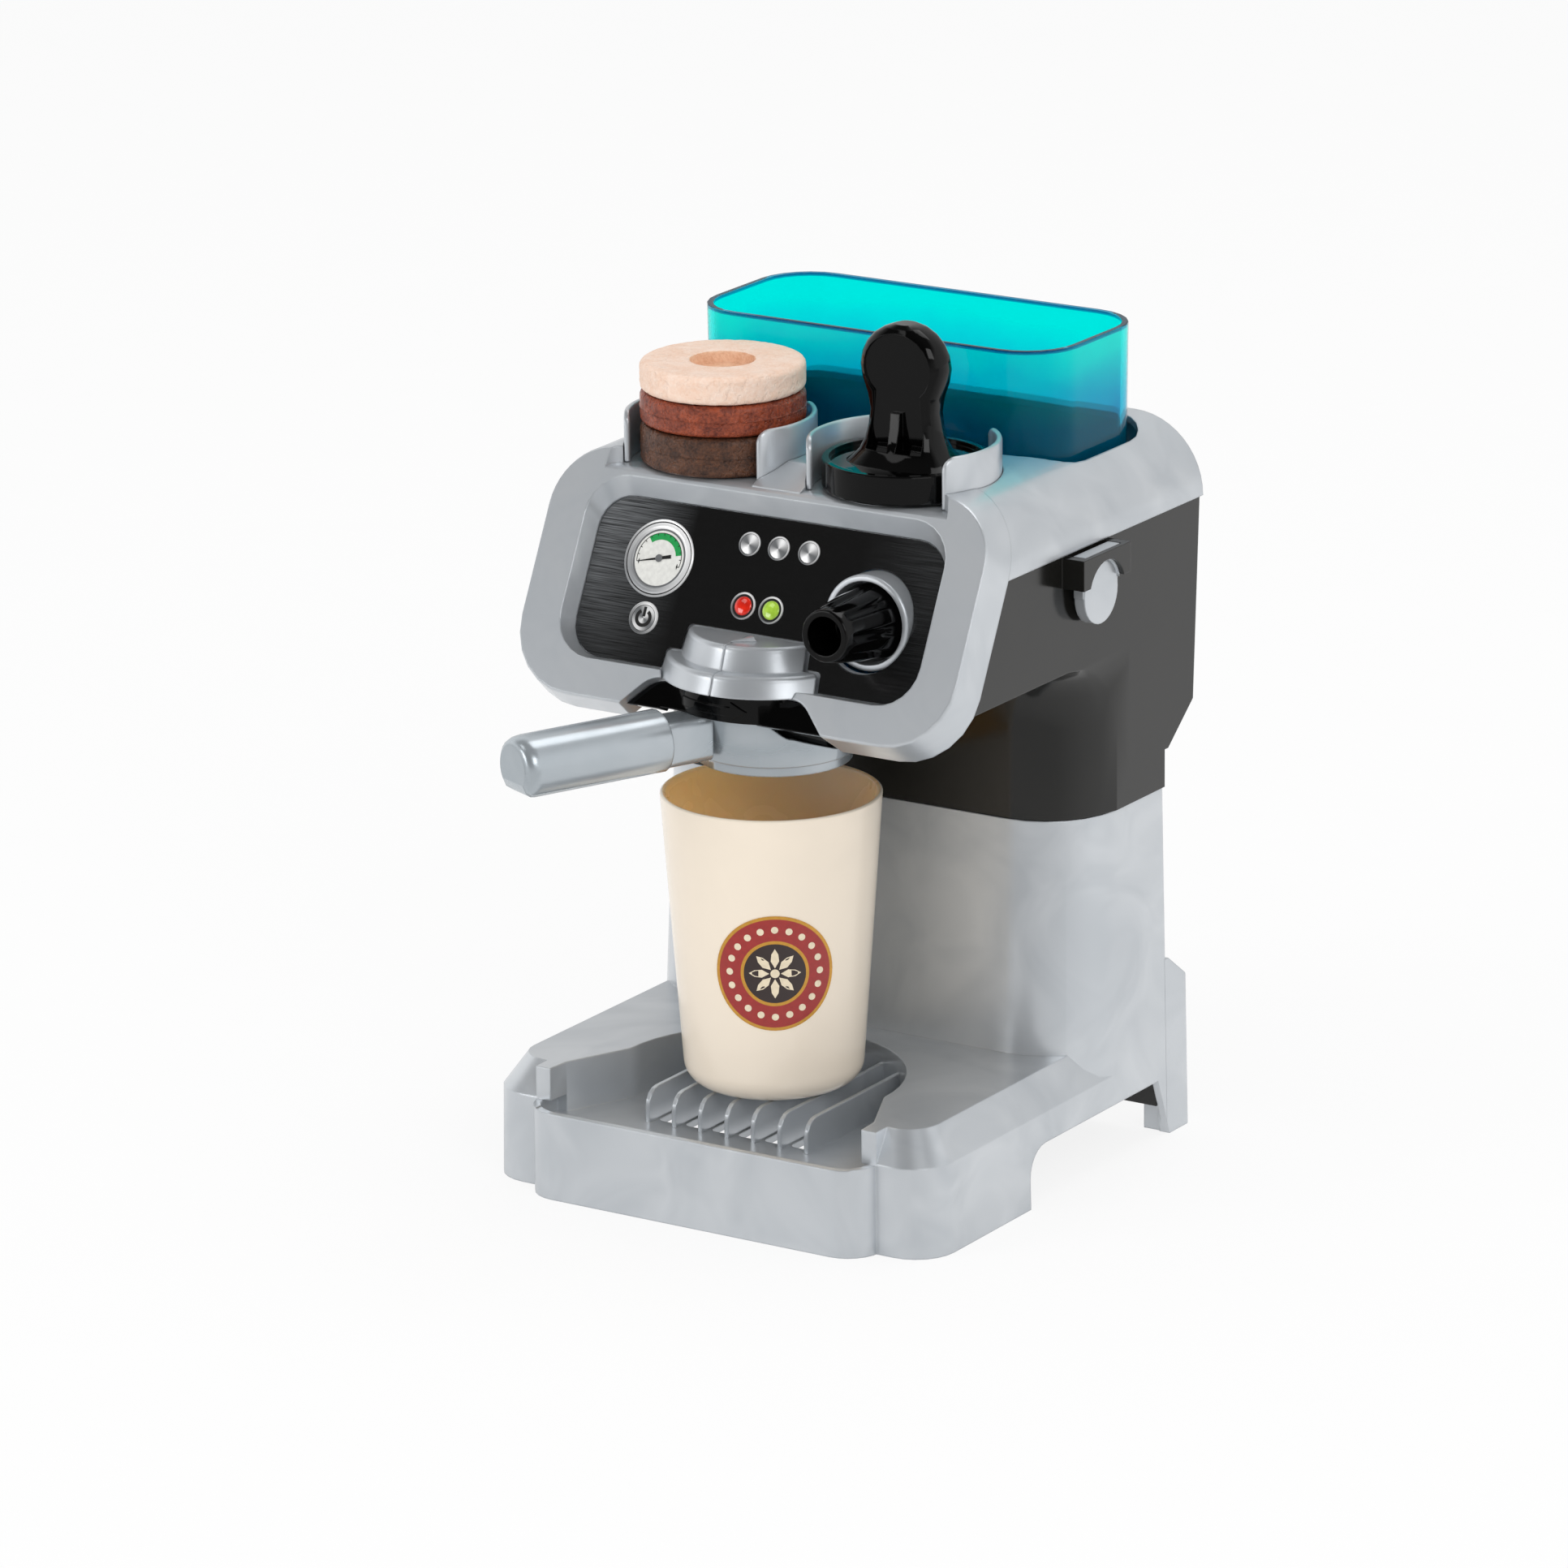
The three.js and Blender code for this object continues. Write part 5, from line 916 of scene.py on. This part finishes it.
class TOYMACHINE_OT_printed_buttons(bpy.types.Operator):
    """Prints the three round buttons, the two lamps and the power sign"""

    bl_idname = "toymachine.printed_buttons"
    bl_label = "Printed buttons and lamps"

    def execute(self, context):
        look = settings().panel
        black = bpy.data.materials["black_ink"]
        for number, (x, v) in enumerate(((-8.2, -9.8), (3.1, -9.8), (14.8, -9.7)), 1):
            self.button("button_print_%d" % number, on_panel(x, v), look.button_radius)
        lamps = (
            ("red", -5.1, look.red_lamp, linear("#c21a0a")),
            ("green", 5.7, look.green_lamp, linear("#9cc43a")),
        )
        for name, x, colour, shade in lamps:
            gel = lamp_gel(name + "_gel", colour, shade)
            self.lamp(name + "_lamp", on_panel(x, -30.4), look.lamp_radius, gel, black)
        self.sign(on_panel(-41.6, -39.6), look.sign_radius, black)
        return {"FINISHED"}

    def metal(self, name, place, wedges, turn):
        """Turned metal with a painted reflection, centred on a print."""
        light, shade = linear("#f2f2f2"), linear("#77797b")
        return spun_metal_painted_reflection(name, light, shade, place((0, 0, 0)), wedges, turn)

    def button(self, name, place, radius):
        """One turned-metal button in its bright rim."""
        shape = ((0, -0.05), (-0.05, 0.25), (-0.3, 0.38), (-0.55, 0.25), (-0.6, -0.05))
        foil = self.metal(name + "_foil", place, 1, -40)
        turned_rim(name + "_rim", place, radius, shape, 40, foil)
        size = radius - 0.7
        crown = ((0, 0.34), (radius - 1.2, 0.3), (size, 0.1), (size, -0.05), (0, -0.05))
        face = bmesh.new()
        turned(face, crown, 40)
        settled(face, name, place, HOUSING, self.metal(name + "_metal", place, 2, 25))

    def lamp(self, name, place, radius, gel, black):
        """One domed lamp in its foil ring."""
        shape = ((0, -0.05), (-0.1, 0.25), (-0.4, 0.35), (-0.7, 0.2), (-0.8, -0.05))
        foil = self.metal(name + "_foil", place, 1, -40)
        turned_rim(name + "_ring", place, radius, shape, 40, foil)
        printed(name + "_gap", place, HOUSING, black, 0, radius - 0.75, 40, 0.1, 0.15)
        size, low, rise = radius - 1.5, 0.08, 0.8
        turns = [math.radians(15 * i) for i in range(7)]
        dome = bmesh.new()
        turned(dome, [(size * math.cos(t), low + rise * math.sin(t)) for t in turns], 32)
        settled(dome, name, place, HOUSING, gel)

    def sign(self, place, radius, black):
        """The power sign: a turned disc in two rims, with an open ring and a bar."""
        metal = self.metal("sign_metal", place, 2, 20)
        foil = self.metal("sign_foil", place, 1, -40)
        disc = bmesh.new()
        turned(disc, ((0, 0.15), (radius - 1.3, 0.15), (radius - 1.25, -0.05), (0, -0.05)), 48)
        settled(disc, "power_sign_disc", place, HOUSING, metal)
        outer = ((0, -0.05), (-0.15, 0.3), (-0.4, 0.3), (-0.55, 0.08))
        inner = ((-0.7, 0.08), (-0.85, 0.25), (-1.1, 0.15), (-1.1, -0.05))
        turned_rim("power_sign_rims", place, radius, outer + inner, 48, foil)
        mark = bmesh.new()
        out = 0.26
        polar(mark, radius * 0.35, radius * 0.56, 32, out, 122, 296)
        side, foot, head = radius * 0.09, radius * 0.08, radius * 0.67
        bar = [(-side, foot), (side, foot), (side, head), (-side, head)]
        mark.faces.new([mark.verts.new((x, y, out)) for x, y in bar])
        thickened(mark, 0.15)
        settled(mark, "power_sign", place, HOUSING, black)


class TOYMACHINE_OT_collar_arrow(bpy.types.Operator):
    """Raises the arrow on the collar that shows which way the portafilter turns"""

    bl_idname = "toymachine.collar_arrow"
    bl_label = "Collar arrow"

    def execute(self, context):
        # Degrees from X at which the shaft starts, the head starts and the head ends
        start, neck, tip = -120.0, -82.5, -72.9
        # The shaft's edges over the floor, and half the width of the head and of its point
        low, high, wing, point_half = 170.6, 173.7, 3.1, 0.02
        middle = (low + high) / 2 + 0.2
        bm = bmesh.new()
        steps = 12
        shaft = [(start + (neck - start) * i / steps, low, high) for i in range(steps + 1)]
        self.strip(bm, shaft)
        steps = 4
        head = []
        for i in range(steps + 1):
            half = max(wing * (1 - i / steps), point_half)
            head.append((neck + (tip - neck) * i / steps, middle - half, middle + half))
        self.strip(bm, head)
        bmesh.ops.remove_doubles(bm, verts=bm.verts, dist=0.001)
        thickened(bm, 0.9)
        collar, stands = 33.5, 0.5

        def place(point):
            angle = math.radians(point.x)
            radius = (collar + stands + point.z) * MM
            x = MIDDLE_X + radius * math.cos(angle)
            y = GROUP_Y + radius * math.sin(angle)
            return Vector((x, y, point.y * MM))

        settled(bm, "collar_arrow", place, HOUSING, bpy.data.materials["jet_abs"])
        return {"FINISHED"}

    def strip(self, bm, stations):
        """Joins (angle, low, high) stations by flat faces."""
        for (a, low_a, high_a), (b, low_b, high_b) in zip(stations, stations[1:]):
            corners = [(a, low_a, 0), (b, low_b, 0), (b, high_b, 0), (a, high_a, 0)]
            bm.faces.new([bm.verts.new(corner) for corner in corners])


class TOYMACHINE_OT_water_tank(bpy.types.Operator):
    """Makes the clear turquoise water tank"""

    bl_idname = "toymachine.water_tank"
    bl_label = "Water tank"

    def execute(self, context):
        look = settings().loose
        dyed = tinted_san("tinted_san", look.tank, look.tank_painted_shade, look.tank_rim)
        moulded("water_tank", dyed, 0.4)
        return {"FINISHED"}


class TOYMACHINE_OT_coffee_pads(bpy.types.Operator):
    """Makes the three pressed coffee pads"""

    bl_idname = "toymachine.coffee_pads"
    bl_label = "Coffee pads"

    def execute(self, context):
        look = settings().loose
        cream = pressed_foam("cream_press", look.cream_pad, linear("#f0cdb6"), 0.75, 1.0, 0.25)
        # The hollow's deeper colours are a painted shade in the pad's recess.
        hollow = pressed_foam("hollow_shaded_press", look.hollow, linear("#d9a684"), 0.8, 1.0, 0.2)
        red = pressed_foam("red_press", look.red_pad, linear("#5c2418"), 0.34, 0.9, 0.35)
        dark = pressed_foam("dark_press", look.dark_pad, linear("#35221a"), 0.34, 0.9, 0.35)
        self.pad("pad_cream", (cream, hollow), 10.8, 0.3)
        self.pad("pad_red", (red,), 0, 0.22)
        self.pad("pad_dark", (dark,), 0, 0.22)
        return {"FINISHED"}

    def pad(self, node, finishes, hole, crumble):
        """A turned pad with soft, slightly broken edges, and a hollow or a flash line."""
        low, high = box_mm(node)
        centre = (low + high) / 2
        radius = (high.x - low.x) / 2
        half = (high.z - low.z) / 2
        bm = bmesh.new()
        turned(bm, self.profile(radius, half, hole), 120)

        def place(point):
            rough = noise.noise(point * 0.9) + 0.6 * noise.noise(point * 2.3)
            away = Vector((point.x, point.y, 0)).normalized() * 0.7
            away.z = math.copysign(0.3, point.z) if abs(point.z) > half - 1 else 0
            inwards = min(rough - 0.2, 0) * crumble * 1.4
            return (centre + point + away * inwards) * MM

        piece = settled(bm, node + "_press", place, BODY_OF[node], *finishes)
        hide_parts(node)
        # Faces in the hollow take the painted shade.
        for face in piece.data.polygons:
            middle = face.center / MM - centre
            if hole and middle.z > 0 and middle.xy.length < hole + 0.2:
                face.material_index = 1

    def profile(self, radius, half, hole):
        """A pad from the middle of its floor to the middle of its lid, as (radius, out) points."""
        soft, flash, depth = 2.0, 0.25, 4
        turns = [math.radians(15 * i) for i in range(7)]
        rim = [(radius - soft * (1 - math.sin(t)), soft * (1 - math.cos(t)) - half) for t in turns]
        side = [(radius, half * i / 6) for i in range(-3, 4)]
        floor = [(radius * i / 12, -half) for i in range(11)]
        lid = [(radius * i / 24, half) for i in range(22, -1, -1)]
        if hole:
            brim = ((0.9, 0), (0.3, -0.2), (0, -0.7), (-0.2, -3.2), (-0.7, -depth))
            foot = hole - 0.7
            lid = [(r, z) for r, z in lid if r > hole + 1]
            lid += [(hole + r, half + z) for r, z in brim]
            lid += [(foot * i / 5, half - depth) for i in range(4, -1, -1)]
        else:
            # A thin line of flash stands out round the middle.
            side[3:4] = [(radius, -flash), (radius + flash, 0), (radius, flash)]
        return floor + rim + side + [(r, -z) for r, z in reversed(rim)] + lid


class TOYMACHINE_OT_play_cup(bpy.types.Operator):
    """Makes the cup, cream outside and tan inside, with its seal"""

    bl_idname = "toymachine.play_cup"
    bl_label = "Cup"

    def execute(self, context):
        look = settings().loose
        cream, tan = look.cup_outside, look.cup_inside
        # The thin wall lets some daylight through.
        glow = {
            "Subsurface Weight": 0.9,
            "Subsurface Radius": (1.0, 0.7, 0.45),
            "Subsurface Scale": 12 * MM,
        }
        outside = gloss_abs("cup_cream", cream, darker(cream, 0.96), 0.14)
        inside = gloss_abs("cup_tan", tan, darker(tan, 0.95), 0.2, glow=glow)
        cup = moulded("cup", outside, 0.3)
        cup.data.materials.append(inside)
        axis = (CUP_LOW + CUP_HIGH) / 2
        for face in cup.data.polygons:
            towards = Vector((axis.x - face.center.x, axis.y - face.center.y, 0))
            inner = face.normal.dot(towards) > 0 and face.center.z > CUP_LOW.z + 2 * MM
            floor = face.normal.z > 0.5 and face.center.z < axis.z
            if inner or floor:
                face.material_index = 1
        self.seal(look, axis)
        return {"FINISHED"}

    def seal(self, look, axis):
        """A round printed seal: a gold-rimmed red band of beads round a flower on a dark ground."""
        # The cup's radius grows from its bend to its rim. Both stand this high over its foot.
        bend_radius, rim_radius = 30.2, 37.2
        bend, top = 8.0, 100.6
        slope = (rim_radius - bend_radius) / (top - bend)

        def place(point):
            height = look.seal_height + point.y
            reach = bend_radius + slope * (height - bend) + point.z
            angle = look.seal_turn + point.x / reach
            x = axis.x + reach * MM * math.cos(angle)
            y = axis.y + reach * MM * math.sin(angle)
            return Vector((x, y, CUP_LOW.z + height * MM))

        gold = print_ink("seal_gold", look.seal_gold, 0.25, 0.4)
        red = print_ink("seal_red", look.seal_red)
        dark = print_ink("seal_dark", look.seal_dark)
        cream = print_ink("seal_cream", look.seal_cream)
        radius = look.seal_radius
        middle = radius * 0.54
        bands = (
            ("seal_rim", radius - 1.1, radius, 0.12, gold, 2),
            ("seal_band", middle + 0.6, radius - 1.1, 0.1, red, 8),
            ("seal_inner_rim", middle - 0.5, middle + 0.6, 0.12, gold, 2),
            ("seal_ground", 0, middle - 0.5, 0.1, dark, 8),
        )
        for name, inner, outer, out, ink, rings in bands:
            printed(name, place, "cup", ink, inner, outer, 72, out, rings=rings)
        beads_radius = (middle + radius) / 2 - 0.2
        sweep = 360 * (look.beads - 1) / look.beads
        size = (2.4, 2.4, 0.12)
        marks("seal_beads", place, "cup", cream, look.beads, beads_radius, 0, sweep, size, 16, 0.12)
        self.flower(place, middle, cream)

    def flower(self, place, middle, cream):
        """Eight pointed petals round a small disc."""
        petals, length, out = 8, middle - 2.2, 0.15
        # Along a petal, and half its width there, as shares of its length
        shape = ((0.22, 0), (0.5, 0.16), (0.78, 0.13), (1.0, 0))
        lift = Vector((0, 0, out))
        bm = bmesh.new()
        for i in range(petals):
            angle = 2 * math.pi * i / petals
            along = Vector((math.cos(angle), math.sin(angle), 0)) * length
            aside = Vector((-along.y, along.x, 0))
            right_side = [along * a + aside * b + lift for a, b in shape]
            left_side = [along * a - aside * b + lift for a, b in shape[-2:0:-1]]
            bm.faces.new([bm.verts.new(corner) for corner in right_side + left_side])
        polar(bm, 0, middle * 0.14, 20, out)
        thickened(bm, 0.2)
        settled(bm, "seal_flower", place, "cup", cream)


class TOYMACHINE_OT_fasteners(bpy.types.Operator):
    """Gives the screws, washers and spring their zinc steel, and the spring a mesh of its own"""

    bl_idname = "toymachine.fasteners"
    bl_label = "Fasteners"

    def execute(self, context):
        steel = zinc_steel()
        for node in BODY_OF:
            if "screw" in node or "washer" in node:
                dressed(node, steel)
        coil = moulded("button_spring", steel, 0, 30)
        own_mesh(coil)
        return {"FINISHED"}


class TOYMACHINE_OT_studio(bpy.types.Operator):
    """Sets the pale floor, the soft lamps, the sky and the camera"""

    bl_idname = "toymachine.studio"
    bl_label = "Studio"

    def execute(self, context):
        look = settings().stage
        target = Vector((MIDDLE_X, AXIS_Y, look.height))
        self.camera(look, target)
        self.floor(look)
        self.sky(look)
        self.lamp("key", look.key, (1.5, -1.1, 1.1), target, 0.9)
        self.lamp("fill", look.fill, (-1.0, -1.2, 1.8), target, 0.8)
        self.lamp("front", look.front, (-1.2, -1.7, 0.35), target, 0.8)
        self.lamp("top", look.top, (0.2, 0.7, 1.7), target, 0.9)
        context.scene.view_settings.view_transform = "Standard"
        return {"FINISHED"}

    def camera(self, look, target):
        """Looks at the machine from where the photograph was taken."""
        level = math.cos(look.elevation)
        back = Vector(
            (
                math.sin(look.azimuth) * level,
                -math.cos(look.azimuth) * level,
                math.sin(look.elevation),
            )
        )
        right = Vector((math.cos(look.azimuth), math.sin(look.azimuth), 0))
        up = back.cross(right)
        turned_right = right * math.cos(look.roll) - up * math.sin(look.roll)
        turned_up = right * math.sin(look.roll) + up * math.cos(look.roll)
        data = bpy.data.cameras.new("photo_camera")
        data.sensor_fit = "HORIZONTAL"
        data.sensor_width = 36
        data.lens = look.lens
        data.clip_end = 20
        camera = bpy.data.objects.new("photo_camera", data)
        rotation = Matrix((turned_right, turned_up, back)).transposed()
        camera.matrix_world = Matrix.Translation(target + back * look.distance) @ rotation.to_4x4()
        bpy.context.scene.collection.objects.link(camera)
        bpy.context.scene.camera = camera

    def floor(self, look):
        """A wide pale floor: white to the eye and in reflections, with the object's shadow."""
        half = 6.0
        corners = [(-half, -half, 0), (half, -half, 0), (half, half, 0), (-half, half, 0)]
        mesh = bpy.data.meshes.new("studio_floor")
        mesh.from_pydata(corners, [], [(0, 1, 2, 3)])
        floor = bpy.data.objects.new("studio_floor", mesh)
        bpy.context.scene.collection.objects.link(floor)
        material, tree, where = blank("studio_paper")
        cloud = add(tree, NOISE, {"Vector": where, "Scale": 1 / (40 * MM)})
        tone = add(tree, RANGE, {VALUE: cloud, FROM_LOW: 0.3, FROM_HIGH: 0.7})
        shade = darker(look.floor, 0.985)
        tones = {SHARE: tone, COLOUR_A: rgba(shade), COLOUR_B: rgba(look.floor)}
        tint = add(tree, MIX, tones, data_type="RGBA").outputs[2]
        paper = add(tree, "ShaderNodeBsdfPrincipled", {"Base Color": tint, "Roughness": 0.9})
        white = add(tree, "ShaderNodeEmission", {"Color": (1, 1, 1, 1), "Strength": 1.0})
        dark = add(tree, "ShaderNodeEmission", {"Color": (0, 0, 0, 1), "Strength": 0.0})
        # In reflections the floor is dimmer in front of the machine.
        depth = add(tree, SEPARATE, {0: where}).outputs[1]
        glossy = add(tree, LIGHT_PATH).outputs["Is Glossy Ray"]
        ahead = {VALUE: depth, FROM_LOW: 0.1, FROM_HIGH: -0.25, TO_HIGH: 1 - look.front_wall}
        dim = add(tree, MATH, {0: glossy, 1: add(tree, RANGE, ahead)}, operation="MULTIPLY")
        bright = add(tree, RANGE, {VALUE: dim, TO_LOW: look.whiteness, TO_HIGH: 0.0})
        share = add(tree, MATH, {0: self.seen(tree), 1: bright}, operation="MULTIPLY")
        dimmed = add(tree, MIX_SHADER, {0: dim, 1: paper, 2: dark})
        lit = add(tree, MIX_SHADER, {0: share, 1: dimmed, 2: white})
        add(tree, "ShaderNodeOutputMaterial", {"Surface": lit})
        mesh.materials.append(material)

    def seen(self, tree):
        """One for what the eye sees straight, in a reflection or through clear plastic."""
        path = add(tree, LIGHT_PATH).outputs
        rays = {0: path["Is Camera Ray"], 1: path["Is Transmission Ray"]}
        straight = add(tree, MATH, rays, operation="MAXIMUM")
        return add(tree, MATH, {0: straight, 1: path["Is Glossy Ray"]}, operation="MAXIMUM")

    def sky(self, look):
        """White backdrop, with a dimmer ceiling and front of the room for reflections."""
        world = bpy.data.worlds.new("studio_sky")
        world.use_nodes = True
        tree = world.node_tree
        tree.nodes.clear()
        way = add(tree, "ShaderNodeTexCoord").outputs["Generated"]
        _, depth, rise = add(tree, SEPARATE, {0: way}).outputs
        back = add(tree, MATH, {0: depth, 1: 0.6}, operation="MULTIPLY")
        height = add(tree, MATH, {0: rise, 1: back}, operation="SUBTRACT")
        # The ceiling, the room in front and the room behind: where each fades, and to what share
        fades = (
            (height, 0.45, 0.8, look.ceiling),
            (depth, -0.3, -0.75, look.front_wall),
            (depth, 0.4, 0.75, 0.75),
        )
        above, front, behind = (
            add(tree, RANGE, {VALUE: axis, FROM_LOW: near, FROM_HIGH: far, TO_LOW: 1, TO_HIGH: low})
            for axis, near, far, low in fades
        )
        walls = add(tree, MATH, {0: front, 1: behind}, operation="MULTIPLY")
        room = add(tree, MATH, {0: above, 1: walls}, operation="MULTIPLY")
        glossy = add(tree, LIGHT_PATH).outputs["Is Glossy Ray"]
        reflected = add(tree, MIX, {SHARE: glossy, NUMBER_A: 1.0, NUMBER_B: room})
        strength = {SHARE: self.seen(tree), NUMBER_A: look.sky, NUMBER_B: reflected}
        white = {"Color": (1, 1, 1, 1), "Strength": add(tree, MIX, strength)}
        background = add(tree, "ShaderNodeBackground", white)
        add(tree, "ShaderNodeOutputWorld", {"Surface": background})
        bpy.context.scene.world = world

    def lamp(self, name, power, offset, target, size):
        """A soft square lamp that faces the machine."""
        data = bpy.data.lights.new(name + "_lamp", "AREA")
        data.energy = power
        data.size = size
        lamp = bpy.data.objects.new(name + "_lamp", data)
        lamp.location = target + Vector(offset)
        lamp.rotation_euler = (-Vector(offset)).to_track_quat("-Z", "Y").to_euler()
        bpy.context.scene.collection.objects.link(lamp)


STEPS = (
    TOYMACHINE_OT_silver_mouldings,
    TOYMACHINE_OT_seat_walls,
    TOYMACHINE_OT_portafilter,
    TOYMACHINE_OT_black_mouldings,
    TOYMACHINE_OT_front_plate,
    TOYMACHINE_OT_gauge,
    TOYMACHINE_OT_printed_buttons,
    TOYMACHINE_OT_collar_arrow,
    TOYMACHINE_OT_water_tank,
    TOYMACHINE_OT_coffee_pads,
    TOYMACHINE_OT_play_cup,
    TOYMACHINE_OT_fasteners,
    TOYMACHINE_OT_studio,
)


class TOYMACHINE_PT_steps(bpy.types.Panel):
    """Lists the pieces of the toy machine"""

    bl_label = "Toy Machine"
    bl_idname = "TOYMACHINE_PT_steps"
    bl_space_type = "VIEW_3D"
    bl_region_type = "UI"
    bl_category = "Toy Machine"

    def draw(self, context):
        for step in STEPS:
            self.layout.operator(step.bl_idname)


CLASSES = (
    ToyMachineMouldings,
    ToyMachinePanel,
    ToyMachineLoose,
    ToyMachineStage,
    ToyMachineSettings,
    *STEPS,
    TOYMACHINE_PT_steps,
)


def register():
    for item in CLASSES:
        bpy.utils.register_class(item)
    bpy.types.Scene.toy_machine = PointerProperty(type=ToyMachineSettings)


def unregister():
    del bpy.types.Scene.toy_machine
    for item in reversed(CLASSES):
        bpy.utils.unregister_class(item)


def main():
    """Makes every piece in order."""
    register()
    for step in STEPS:
        group, name = step.bl_idname.split(".")
        getattr(getattr(bpy.ops, group), name)()


if __name__ == "__main__":
    main()
